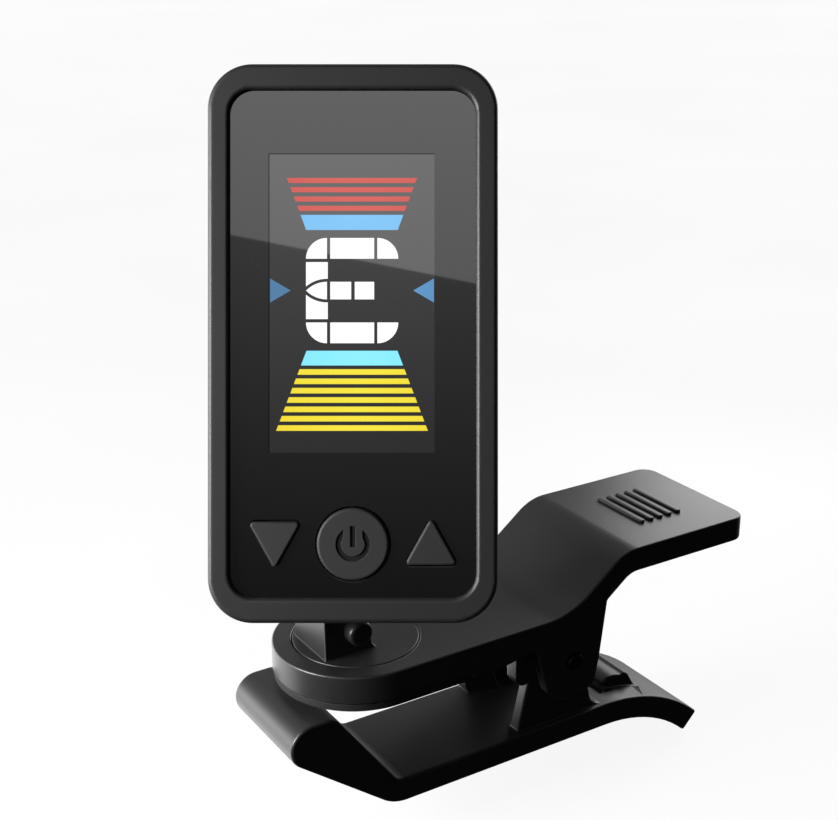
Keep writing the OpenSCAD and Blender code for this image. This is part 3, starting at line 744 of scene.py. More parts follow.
def on_circle(across: float, up: float, radius: float, degrees: float) -> Flat:
    """The point of a circle at an angle."""
    turn = math.radians(degrees)
    return across + radius * math.cos(turn), up + radius * math.sin(turn)


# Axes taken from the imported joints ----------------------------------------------


def joint(name: str) -> dict[str, Any]:
    """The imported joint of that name."""
    return next(entry for entry in frame["joints"] if entry["name"] == name)


def joint_mm(name: str) -> Vector:
    """A joint's place, in millimetres."""
    return Vector(joint(name)["pos_m"]) / MM


def head_axes(door_up: float, depth: float) -> Matrix:
    """The head's own axes: x to its right, y into it, z up its face, from its lower front edge.

    Args:
        door_up: height of the battery door's middle over that edge, in millimetres.
        depth: the head's depth there.

    Returns:
        The axes, in metres.
    """
    inward = Vector(joint("power_press")["axis"]).normalized()
    right = Vector((inward.y, -inward.x, 0)).normalized()
    up = right.cross(inward)
    start = Vector(joint("battery_door_turn")["pos_m"]) - inward * depth * MM - up * door_up * MM
    axes = Matrix((right, inward, up)).transposed().to_4x4()
    axes.translation = start
    return axes


class Shop:
    """Puts finished pieces on their bodies and counts them."""

    def __init__(self) -> None:
        """Starts with no piece."""
        self.count = 0

    def fit(self, piece: Piece, body: str, slot: str, finish: Material, *nodes: str) -> None:
        """Dresses a piece and makes it ride.

        Args:
            piece: the piece, in place.
            body: the body that carries it.
            slot: the record's material slot; not used.
            finish: its material.
            nodes: the CAD nodes that it stands for.
        """
        piece.data.materials.clear()
        piece.data.materials.append(finish)
        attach(piece, body)
        if nodes:
            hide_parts(*nodes)
        self.count += 1
        LOG.info("%s rides on %s, %d faces", piece.name, body, len(piece.data.polygons))

    def dress_node(self, node: str, finish: Material) -> None:
        """Gives a CAD node that stays its finish."""
        mesh = frame["nodes"][node].data
        if not mesh.materials:
            mesh.materials.append(finish)
        for place in range(len(mesh.materials)):
            mesh.materials[place] = finish
        LOG.info("%s keeps its own shape", node)


# Sub-assemblies -------------------------------------------------------------------


@dataclass
class UpperJaw:
    """Upper jaw with its round front, rise, finger tab, hinge flanges and depth ribs."""

    shop: Shop
    plastic: Material
    rubber: Material
    dark_steel: Material
    width: float = 18.2
    top: float = 4.1
    rim: float = 0.85
    skirt: float = 0.25
    edge: float = 0.24
    ramp_x: Flat = (13.0, 16.9)
    tab_top: float = 10.0
    tab_t: float = 2.9
    tab_end: float = 48.8
    corner: float = 2.0
    rise_x: float = 19.5
    low_bend: float = 8.5
    high_bend: float = 5.9
    slope: float = 38.0
    seat_r: float = 6.95
    seat_z: float = 2.85
    hub_way_r: float = 2.55
    washer_r: float = 3.75
    washer_z: float = 1.7
    pin_r: float = 1.0
    flange_t: float = 1.4
    flange_r: float = 4.7
    rib_y: Flat = (5.45, 7.45)
    pad_end: float = 9.2
    pad_inset: float = 0.15
    rib_count: int = 5
    rib_pitch: float = 1.4
    rib_inset: float = 6.4
    rib_size: Triple = (0.7, 8.3, 0.35)
    pin_proud: float = 0.4

    def side(self) -> list[Step]:
        """The outline seen from the side: front plate, rise and tab."""
        sine, cosine = math.sin(math.radians(self.slope)), math.cos(math.radians(self.slope))
        bends = self.low_bend + self.high_bend
        straight = (self.tab_top - self.top - bends * (1 - cosine)) / sine
        tab_x = self.rise_x + bends * sine + straight * cosine
        low_c = (self.rise_x, self.top + self.low_bend)
        high_c = (tab_x, self.tab_top - self.high_bend)
        front, end, under = -self.width / 2 - PAST, self.tab_end + PAST, self.tab_top - self.tab_t
        pad_end, (ramp_low, ramp_high) = self.pad_end + FIT, self.ramp_x
        return [(front, self.top), (self.rise_x, self.top), (*low_c, self.slope),
                on_circle(*high_c, self.high_bend, 90 + self.slope), (*high_c, -self.slope),
                (end, self.tab_top), (end, under), (tab_x, under),
                (*high_c, self.slope), on_circle(*low_c, self.low_bend + self.tab_t, self.slope - 90),
                (*low_c, -self.slope), (self.rise_x, self.rim), (ramp_high, self.rim), (ramp_low, self.skirt),
                (pad_end, self.skirt), (pad_end, self.rim), (front, self.rim)]

    def plan(self) -> list[Step]:
        """The outline seen from above."""
        half, end, r = self.width / 2, self.tab_end, self.corner
        return [(0, -half), (end - r, -half), (end - r, r - half, 90), (end, half - r),
                (end - r, half - r, 90), (0, half), (0, 0, 180)]

    def flange(self) -> list[Step]:
        """A hinge flange seen from the side."""
        x, _, z = joint_mm("jaw_open")
        start = on_circle(x, z, self.flange_r, 216)
        return [(x + 4.6, self.top + 1.2), (self.rise_x, self.rim + 1), (x - 5.4, self.rim + 0.2), start,
                (x, z, 96), (x + 3.7, z - 0.3)]

    def depth_rib(self) -> list[Step]:
        """A depth rib with its notch."""
        return [(9.5, self.rim + 1), (9.5, -1.6), (9.9, -2.6), (14.3, -3.6), (12.5, self.rim),
                (15.9, self.rim + 1)]

    def lug(self) -> list[Step]:
        """The round lug behind a depth rib."""
        return [(16.35, self.rim + 0.5), (16.35, -2.9), (17.55, -2.9, 180), (18.75, self.rim + 0.5)]

    def build(self) -> None:
        """Models the jaw, its pad, its grip ribs and the hinge pin."""
        half = self.width / 2
        hinge = joint_mm("jaw_open")
        jaw = Workbench.draw("jaw_top", Plane.UPRIGHT, -half, half, self.side(), 3.0)
        plan = Workbench.draw("plan", Plane.FLAT, -PAST, self.tab_top + PAST, self.plan(), 4.0)
        Workbench.keep_inside(jaw, plan)
        for side in (-1, 1):
            walls = ((self.flange(), half - self.flange_t, half), (self.depth_rib(), *self.rib_y),
                     (self.lug(), *self.rib_y))
            for outline, inner, outer in walls:
                low, high = sorted((side * inner, side * outer))
                Workbench.weld(jaw, Workbench.draw("wall", Plane.UPRIGHT, low, high, outline))
        below, reach = self.rim - PAST, half + PAST
        Workbench.cut(jaw, Workbench.rod("seat", "z", (0, 0), self.seat_r, self.seat_z, self.top + PAST, 96),
                      Workbench.rod("hub_way", "z", (0, 0), self.hub_way_r, below, self.top),
                      Workbench.rod("washer_pocket", "z", (0, 0), self.washer_r, below, self.washer_z),
                      Workbench.rod("pin_way", "y", (hinge.x, hinge.z), self.pin_r + FIT, -reach, reach, 48))
        Workbench.soften(jaw, self.edge)
        self.shop.fit(jaw, "clip", "clip_plastic", self.plastic, "upper_jaw")
        self.build_ribs()
        self.build_pad()
        pin_end = half + self.pin_proud
        pin = Workbench.rod("hinge_bar", "y", (hinge.x, hinge.z), self.pin_r, -pin_end, pin_end, 48)
        Workbench.soften(pin, 0.18)
        self.shop.fit(pin, "clip", "steel", self.dark_steel, "hinge_pin")

    def build_ribs(self) -> None:
        """Models one grip rib and copies it along the tab."""
        width, length, height = self.rib_size
        x = self.tab_end - self.rib_inset
        half = length / 2 - width / 2
        outline = [(x - width / 2, -half), (x, -half, 180), (x + width / 2, half), (x, half, 180)]
        rib = Workbench.draw("tab_ribs", Plane.FLAT, self.tab_top - 0.1, self.tab_top + height, outline, 20.0)
        Workbench.soften(rib, 0.14)
        ribs = [rib] + [Workbench.twin(rib, "rib", (-count * self.rib_pitch, 0, 0))
                        for count in range(1, self.rib_count)]
        self.shop.fit(Workbench.join("tab_ribs", ribs), "clip", "clip_plastic", self.plastic)

    def build_pad(self) -> None:
        """Models the rubber pad under the round front."""
        r = self.width / 2 - self.pad_inset
        outline = [(0, -r), (self.pad_end, -r), (self.pad_end, r), (0, r), (0, 0, 180)]
        pad = Workbench.draw("rubber_pad", Plane.FLAT, 0, self.rim - FIT, outline)
        Workbench.soften(pad, 0.08, 2)
        self.shop.fit(pad, "clip", "pad_rubber", self.rubber, "grip_pad")


@dataclass
class LowerJaw:
    """Lower jaw with its rounded nose, flat floor, hinge ears, spring keeper and curved rear end."""

    shop: Shop
    plastic: Material
    width: float = 13.4
    nose_r: float = 2.5
    nose_z: float = -3.3
    nose_x: Flat = (-9.05, -7.5)
    floor: float = -11.1
    floor_t: float = 2.9
    inner_slope: float = 53.3
    under_slope: float = 37.5
    valley_r: float = 1.8
    heel_r: float = 5.0
    arch_x: float = 30.5
    arch_r: float = 21.5
    arch_turn: float = 43.0
    ear_r: float = 3.2
    ear_y: Flat = (4.3, 5.9)
    keeper_half: float = 3.5
    keeper_x: float = 32.1
    leg_way_r: float = 0.55
    edge: float = 0.3
    pin_r: float = 1.05

    def slope_foot(self, centre: float, side: int, slope: float, z: float) -> float:
        """Where a line that touches a nose circle reaches a height.

        Args:
            centre: the circle's place along the clip.
            side: 1 for its rear upper side, -1 for its front lower side.
            slope: the line's fall in degrees.
            z: the height.

        Returns:
            The place along the clip.
        """
        turn = math.radians(slope)
        touch_z = self.nose_z + side * self.nose_r * math.cos(turn)
        return centre + side * self.nose_r * math.sin(turn) + (touch_z - z) / math.tan(turn)

    def side(self) -> list[Step]:
        """The outline seen from the side."""
        under = self.floor - self.floor_t
        valley = (self.slope_foot(self.nose_x[1], 1, self.inner_slope, self.floor)
                  + self.valley_r * math.tan(math.radians(self.inner_slope / 2)))
        heel = (self.slope_foot(self.nose_x[0], -1, self.under_slope, under)
                + self.heel_r * math.tan(math.radians(self.under_slope / 2)))
        arch = (self.arch_x, self.floor - self.arch_r)
        (front, rear), z, low = self.nose_x, self.nose_z, self.floor + self.valley_r
        return [on_circle(front, z, self.nose_r, 270 - self.under_slope), (front, z, self.under_slope - 180),
                (rear, z + self.nose_r), (rear, z, -self.inner_slope),
                on_circle(valley, low, self.valley_r, 270 - self.inner_slope),
                (valley, low, self.inner_slope), (self.arch_x, self.floor), (*arch, -self.arch_turn),
                on_circle(*arch, self.arch_r - self.floor_t, 90 - self.arch_turn),
                (*arch, self.arch_turn), (heel, under), (heel, under + self.heel_r, -self.under_slope)]

    def ear(self) -> list[Step]:
        """A hinge ear seen from the side."""
        x, _, z = joint_mm("jaw_open")
        return [(x - 5.5, self.floor - 0.5), on_circle(x, z, self.ear_r, 170), (x, z, -160),
                (x + 5.4, self.floor + 0.9), (x + 6.5, self.floor), (x + 6.5, self.floor - 0.5)]

    def keeper(self) -> list[Step]:
        """The bar that the spring's lower leg bears on, seen from the side."""
        spots = ((0, -0.8), (0, 0.6), (0.9, 1.2), (2.1, 1.25), (3.2, 0.9), (3.7, 1.15), (4.2, 0.85),
                 (5.7, -1.6))
        return [(self.keeper_x + x, self.floor + z) for x, z in spots]

    def build(self) -> None:
        """Models the jaw."""
        half = self.width / 2
        hinge = joint_mm("jaw_open")
        jaw = Workbench.draw("jaw_bottom", Plane.UPRIGHT, -half, half, self.side(), 4.0)
        for side in (-1, 1):
            low, high = sorted(side * y for y in self.ear_y)
            Workbench.weld(jaw, Workbench.draw("ear", Plane.UPRIGHT, low, high, self.ear()))
        Workbench.weld(jaw, Workbench.draw("keeper", Plane.UPRIGHT, -self.keeper_half, self.keeper_half,
                                           self.keeper()))
        Workbench.cut(jaw, Workbench.rod("pin_way", "y", (hinge.x, hinge.z), self.pin_r, -half, half, 48),
                      Workbench.rod("leg_way", "y", (self.keeper_x, self.floor - 0.05), self.leg_way_r,
                                    -self.keeper_half - 0.5, self.keeper_half + 0.5, 32))
        Workbench.soften(jaw, self.edge)
        self.shop.fit(jaw, "lower_jaw", "clip_plastic", self.plastic, "lower_jaw")


@dataclass
class HingeSpring:
    """Torsion spring round the hinge pin: upper leg, coil, lower leg."""

    shop: Shop
    wire: Material
    wire_r: float = 0.45
    coil_r: float = 1.9
    turns: int = 5
    start_deg: float = 132.0
    extra_deg: float = 150.0
    steps_per_turn: int = 24
    wire_gap: float = 0.12
    leg_reach: float = 9.6
    tab_under: float = 7.1

    def path(self) -> list[Vector]:
        """The wire's middle line, in millimetres."""
        hinge = joint_mm("jaw_open")
        half = (2 * self.wire_r + self.wire_gap) * self.turns / 2
        leg_x, upper_z = hinge.x + self.leg_reach, self.tab_under - self.wire_r - 0.3
        spots = [Vector((leg_x, -half, upper_z)), Vector((hinge.x + 5, -half, upper_z - 3.9))]
        total, count = 360 * self.turns + self.extra_deg, self.steps_per_turn * self.turns
        for step in range(count + 1):
            share = step / count
            x, z = on_circle(hinge.x, hinge.z, self.coil_r, self.start_deg - total * share)
            spots.append(Vector((x, -half + 2 * half * share, z)))
        floor = LowerJaw.floor
        return spots + [Vector((hinge.x + 4.6, half, floor + 4.3)),
                        Vector((leg_x - 0.6, half - 0.9, floor + 0.75))]

    def build(self) -> None:
        """Draws the middle line point by point, and gives it the wire's thickness."""
        spots = [spot * MM for spot in self.path()]
        Workbench.point("coil_spring", spots[0])
        for here, there in zip(spots, spots[1:]):
            bpy.ops.mesh.extrude_region_move(TRANSFORM_OT_translate={"value": there - here})
        bpy.ops.object.mode_set(mode="OBJECT")
        bpy.ops.object.convert(target="CURVE")
        spring = bpy.context.active_object
        spring.data.bevel_depth, spring.data.bevel_resolution = self.wire_r * MM, 4
        spring.data.use_fill_caps = True
        bpy.ops.object.convert(target="MESH")
        spring = bpy.context.active_object
        spring.name = "coil_spring"
        Workbench.soften(spring, 0.08, 2, 60.0)
        self.shop.fit(spring, "clip", "spring_steel", self.wire, "torsion_spring")


@dataclass
class Turntable:
    """Turning disc with the tilt fork, its cross pin and nut, and the knuckle between the cheeks."""

    shop: Shop
    plastic: Material
    disc_r: float = 6.9
    disc_z: Flat = (2.9, 4.1)
    hub_r: float = 2.5
    hub_z: float = 1.72
    fork_x: Flat = (-5.6, 0.1)
    fork_half: float = 3.4
    cheek_t: float = 1.7
    wall_t: float = 1.2
    fork_h: float = 4.8
    cheek_r: float = 2.0
    floor_h: float = 0.6
    head_r: float = 1.4
    head_t: float = 1.6
    nut_t: float = 1.2
    shank_r: float = 0.9
    screw_way_r: float = 0.82
    screw_way_z: Flat = (0.5, 3.3)
    barrel_r: float = 1.9
    collar: Triple = (2.6, 9.4, 10.0)
    stem_r: float = 1.5
    stem_end: float = 16.4
    edge: float = 0.14
    groove_r: float = 1.0
    groove_z: Flat = (12.125, 13.075)

    def fork(self) -> list[Step]:
        """The fork seen from the side."""
        tilt, top, front = joint_mm("head_tilt"), self.disc_z[1], self.fork_x[0]
        return [(front, top - 0.2), (front, top + self.fork_h), (front + self.wall_t, top + self.fork_h),
                on_circle(tilt.x, tilt.z, self.cheek_r, 110), (tilt.x, tilt.z, -130),
                (self.fork_x[1], top + 0.5), (self.fork_x[1] + 0.5, top), (self.fork_x[1] + 0.5, top - 0.2)]

    def build(self) -> None:
        """Models the turntable, then what its fork holds."""
        tilt, top = joint_mm("head_tilt"), self.disc_z[1]
        table = Workbench.rod("turn_disc", "z", (0, 0), self.disc_r, *self.disc_z, 96)
        slot = self.fork_half - self.cheek_t
        slot_low = (self.fork_x[0] + self.wall_t, -slot, top + self.floor_h)
        reach = self.fork_half + self.head_t
        Workbench.weld(table, Workbench.rod("hub", "z", (0, 0), self.hub_r, self.hub_z, top - 0.5),
                       Workbench.draw("fork", Plane.UPRIGHT, -self.fork_half, self.fork_half, self.fork()))
        Workbench.cut(table, Workbench.block("slot", slot_low,
                                             (self.disc_r + 3, slot, top + 3 * self.fork_h)),
                      Workbench.rod("pin_way", "y", (tilt.x, tilt.z), self.shank_r + FIT, -reach, reach, 40),
                      Workbench.rod("screw_way", "z", (0, 0), self.screw_way_r, *self.screw_way_z, 40))
        Workbench.soften(table, self.edge)
        self.shop.fit(table, "turntable", "clip_plastic", self.plastic, "turntable")
        self.build_cross_pin(tilt)
        self.build_knuckle(tilt)

    def build_cross_pin(self, tilt: Vector) -> None:
        """Models the pin with its domed head, and the nut."""
        outer = self.fork_half + self.head_t
        pin = Workbench.rod("tilt_bolt", "y", (tilt.x, tilt.z), self.head_r, -outer,
                            -self.fork_half - FIT, 56)
        Workbench.round_rim(pin, 1, -outer, 0.45, 6)
        Workbench.weld(pin, Workbench.rod("shank", "y", (tilt.x, tilt.z), self.shank_r,
                                          -outer + 0.6, self.fork_half + self.nut_t, 40))
        Workbench.soften(pin, 0.08, 2)
        self.shop.fit(pin, "turntable", "clip_plastic", self.plastic, "tilt_pin")
        nut = Workbench.rod("tilt_cap", "y", (tilt.x, tilt.z), self.head_r, self.fork_half + FIT,
                            self.fork_half + self.nut_t, 54)
        Workbench.cut(nut, Workbench.rod("bore", "y", (tilt.x, tilt.z), self.shank_r + FIT, 0, 8, 40))
        Workbench.soften(nut, 0.16)
        self.shop.fit(nut, "turntable", "clip_plastic", self.plastic, "tilt_nut")

    def build_knuckle(self, tilt: Vector) -> None:
        """Models the barrel, neck, collar and stem."""
        half = self.fork_half - self.cheek_t - 0.06
        stem = joint_mm("head_swivel")
        r, low, high = self.collar
        neck = [(tilt.x - 1.2, tilt.z + 1.3), (stem.x - 1.5, low + 0.1), (stem.x + 1.6, low + 0.1),
                (stem.x + 1.6, low - 0.9), (tilt.x + 1.7, tilt.z - 0.5)]
        knuckle = Workbench.rod("tilt_knuckle", "y", (tilt.x, tilt.z), self.barrel_r, -half, half, 56)
        Workbench.weld(knuckle, Workbench.draw("neck", Plane.UPRIGHT, -half, half, neck),
                       Workbench.rod("collar", "z", (stem.x, stem.y), r, low, high, 64),
                       Workbench.rod("stem", "z", (stem.x, stem.y), self.stem_r, high - 0.2,
                                     self.stem_end, 56))
        reach = self.fork_half + self.head_t
        Workbench.cut(knuckle, Workbench.rod("pin_way", "y", (tilt.x, tilt.z), self.shank_r + 0.05,
                                             -reach, reach, 40), self.groove(stem))
        Workbench.soften(knuckle, 0.12)
        self.shop.fit(knuckle, "knuckle", "clip_plastic", self.plastic, "knuckle")

    def groove(self, stem: Vector) -> Piece:
        """The tool that cuts the keeper's groove round the stem."""
        low, high = self.groove_z
        tool = Workbench.rod("groove", "z", (stem.x, stem.y), self.stem_r + PAST, low, high, 56)
        Workbench.cut(tool, Workbench.rod("core", "z", (stem.x, stem.y), self.groove_r, low - 0.125,
                                          high + 0.125, 56))
        return tool


@dataclass
class HeadCase:
    """The head's two covers, its battery door and the screws that hold it together."""

    shop: Shop
    axes: Matrix
    plastic: Material
    steel: Material
    width: float = 28.36
    height: float = 54.6
    cad_height: float = 54.2
    depth: float = 8.8
    corner: float = 4.4
    seam: float = 4.6
    wall: float = 1.2
    window: Triple = (24.1, 49.7, 2.4)
    window_base: float = 2.25
    front_round: float = 0.55
    rear_round: float = 1.0
    window_round: float = 0.42
    seat_grow: float = 0.42
    seat_y: Flat = (0.8, 2.0)
    lens_back: float = 1.7
    door_up: float = 30.0
    door_r: float = 12.35
    door_rim: float = 0.5
    door_body_r: float = 10.95
    door_gap: float = 0.05
    back_t: float = 1.0
    slot: Triple = (12.0, 1.6, 0.5)
    mark_turns: Flat = (0, 60)
    well_r: float = 1.45
    stem_way_r: float = 1.55
    screw_x: float = 11.3
    screw_up: Flat = (2.9, 51.3)
    socket_r: float = 3.1
    socket_z: Flat = (10.06, 17.6)
    web_half: float = 2.6

    def slab(self, name: str, low: float, high: float, inset: float = 0.0) -> Piece:
        """A round-cornered slab of the case's outline, moved in by an inset."""
        outline = round_rect(self.width - 2 * inset, self.height - 2 * inset, self.corner - inset,
                             inset - (self.height - self.cad_height) / 2)
        return Workbench.draw(name, Plane.UPRIGHT, low, high, outline)

    def build_front(self) -> None:
        """Models the deep front cover, with its window and hollow."""
        cover = self.slab("case_front", 0, self.seam)
        Workbench.round_rim(cover, 1, 0.0, self.front_round, 5)
        wide, tall, r = self.window
        grow, (seat_front, seat_back) = self.seat_grow, self.seat_y
        seat = round_rect(wide + 2 * grow, tall + 2 * grow, r + 0.4, self.window_base - grow)
        hole = round_rect(wide, tall, r, self.window_base)
        Workbench.cut(cover, self.slab("room", self.lens_back + 0.25, self.seam + PAST, self.wall),
                      Workbench.draw("window", Plane.UPRIGHT, -PAST, 3 * PAST, hole),
                      Workbench.draw("lens_seat", Plane.UPRIGHT, seat_front, seat_back, seat))
        Workbench.clean(cover)
        Workbench.round_edges(cover, self.on_window_rim, self.window_round, 4)
        Workbench.soften(cover, 0.12, 2, 40)
        self.shop.fit(Workbench.place(cover, self.axes), "head", "case_plastic", self.plastic, "front_cover")

    def on_window_rim(self, *ends: Vector) -> bool:
        """Whether an edge lies on the front face, within the window's outline."""
        wide, tall, _ = self.window
        low, high = self.window_base - HAIR, self.window_base + tall + HAIR
        return all(end.y < HAIR * MM and abs(end.x) < (wide / 2 + HAIR) * MM and low * MM < end.z < high * MM
                   for end in ends)

    def build_rear(self) -> None:
        """Models the rear cover with its socket, door recess and screw wells."""
        cover = self.slab("case_rear", self.seam + FIT, self.depth)
        Workbench.round_rim(cover, 1, self.depth, self.rear_round, 6)
        cover = Workbench.place(cover, self.axes)
        Workbench.weld(cover, self.socket_web(), self.socket_barrel())
        middle, end = (0, self.door_up), self.depth + PAST
        tools = [self.slab("room", self.seam - PAST, self.depth - self.back_t, self.wall),
                 Workbench.rod("door_way", "y", middle, self.door_body_r + self.door_gap, 6, end, 96),
                 Workbench.rod("rim_way", "y", middle, self.door_r + self.door_gap,
                               self.depth - self.door_rim - FIT, end, 96)]
        for x in (-self.screw_x, self.screw_x):
            for up in self.screw_up:
                tools.append(Workbench.rod("well", "y", (x, up), self.well_r, self.depth - 1.2, end, 40))
        Workbench.cut(cover, *(Workbench.place(tool, self.axes) for tool in tools))
        stem = joint_mm("head_swivel")
        Workbench.cut(cover, Workbench.rod("stem_way", "z", (stem.x, stem.y), self.stem_way_r, 8, 16.5, 56))
        Workbench.soften(cover, 0.16, 3, 40)
        self.shop.fit(cover, "head", "case_plastic", self.plastic, "rear_cover")

    def socket_barrel(self) -> Piece:
        """The barrel that turns on the stem, with a rounded top."""
        stem = joint_mm("head_swivel")
        barrel = Workbench.rod("barrel", "z", (stem.x, stem.y), self.socket_r, *self.socket_z, 72)
        Workbench.round_rim(barrel, 2, self.socket_z[1], 0.8, 5)
        return barrel

    def socket_web(self) -> Piece:
        """The web between the barrel and the case's back."""
        low, high = self.socket_z
        outline = [(0, low), (-5.1, low), (-6.4, low + 1.44), (-4.0, high - 0.4), (0, high - 0.4)]
        web = Workbench.draw("web", Plane.UPRIGHT, -self.web_half, self.web_half, outline)
        inward = self.axes.to_3x3().col[1]
        turn = Matrix.Rotation(math.atan2(inward.y, inward.x), 4, "Z")
        return Workbench.place(web, Matrix.Translation(joint_mm("head_swivel").xy.to_3d() * MM) @ turn)

    def build_door(self) -> None:
        """Models the battery door with its coin slot and the two marks of its turn."""
        up, end, middle = self.door_up, self.depth + PAST, (0, self.door_up)
        door = Workbench.rod("cell_door", "y", middle, self.door_r, self.depth - self.door_rim,
                             self.depth, 112)
        Workbench.weld(door, Workbench.rod("body", "y", middle, self.door_body_r - 0.05, self.depth - 0.9,
                                           self.depth - 0.2, 96))
        long, wide, deep = self.slot
        half, ring = long / 2 - wide / 2, self.door_body_r - 1.2
        slot = [(-half, up - wide / 2), (half, up - wide / 2), (half, up, 180), (-half, up + wide / 2),
                (-half, up, 180)]
        groove = Workbench.rod("ring", "y", middle, ring, self.depth - 0.12, end, 96)
        Workbench.cut(groove, Workbench.rod("core", "y", middle, ring - 0.35, 5, end + PAST, 96))
        Workbench.cut(door, Workbench.draw("slot", Plane.UPRIGHT, self.depth - deep, end, slot, 12), groove)
        for turn in self.mark_turns:
            spot = on_circle(0, up, self.door_body_r - 0.1, 90 + turn)
            Workbench.cut(door, Workbench.rod("mark", "y", spot, 0.35, self.depth - 0.15, end, 24))
        Workbench.soften(door, 0.07, 2)
        self.shop.fit(Workbench.place(door, self.axes), "battery_door", "case_plastic", self.plastic,
                      "battery_door")

    def build_screws(self) -> None:
        """Models one cross-headed screw and copies it to the other wells."""
        x, up = -self.screw_x, self.screw_up[0]
        face = self.depth - 0.3
        screw = Workbench.rod("case_screws", "y", (x, up), 1.3, face - 0.88, face, 48)
        Workbench.round_rim(screw, 1, face, 0.3, 4)
        for half_x, half_z in ((0.8, 0.17), (0.17, 0.8)):
            Workbench.cut(screw, Workbench.block("cross", (x - half_x, face - 0.4, up - half_z),
                                                 (x + half_x, face + PAST, up + half_z)))
        Workbench.weld(screw, Workbench.rod("shank", "y", (x, up), 0.7, 2.5, face - 0.6, 32))
        Workbench.soften(screw, 0.05, 2)
        rise = self.screw_up[1] - up
        moves = ((2 * self.screw_x, 0, 0), (0, 0, rise), (2 * self.screw_x, 0, rise))
        screws = [screw] + [Workbench.twin(screw, "screw", move) for move in moves]
        screws = Workbench.place(Workbench.join("case_screws", screws), self.axes)
        self.shop.fit(screws, "head", "steel", self.steel, "cover_screws")

    def build(self) -> None:
        """Models the whole case."""
        self.build_front()
        self.build_rear()
        self.build_door()
        self.build_screws()


class Lit(Enum):
    """The display's lit colours."""

    FLAT_SIDE = "red"
    NEAR_FLAT = "blue"
    NEAR_SHARP = "pale_blue"
    SHARP_SIDE = "yellow"
    NOTE = "white"
    POINTER = "sky"


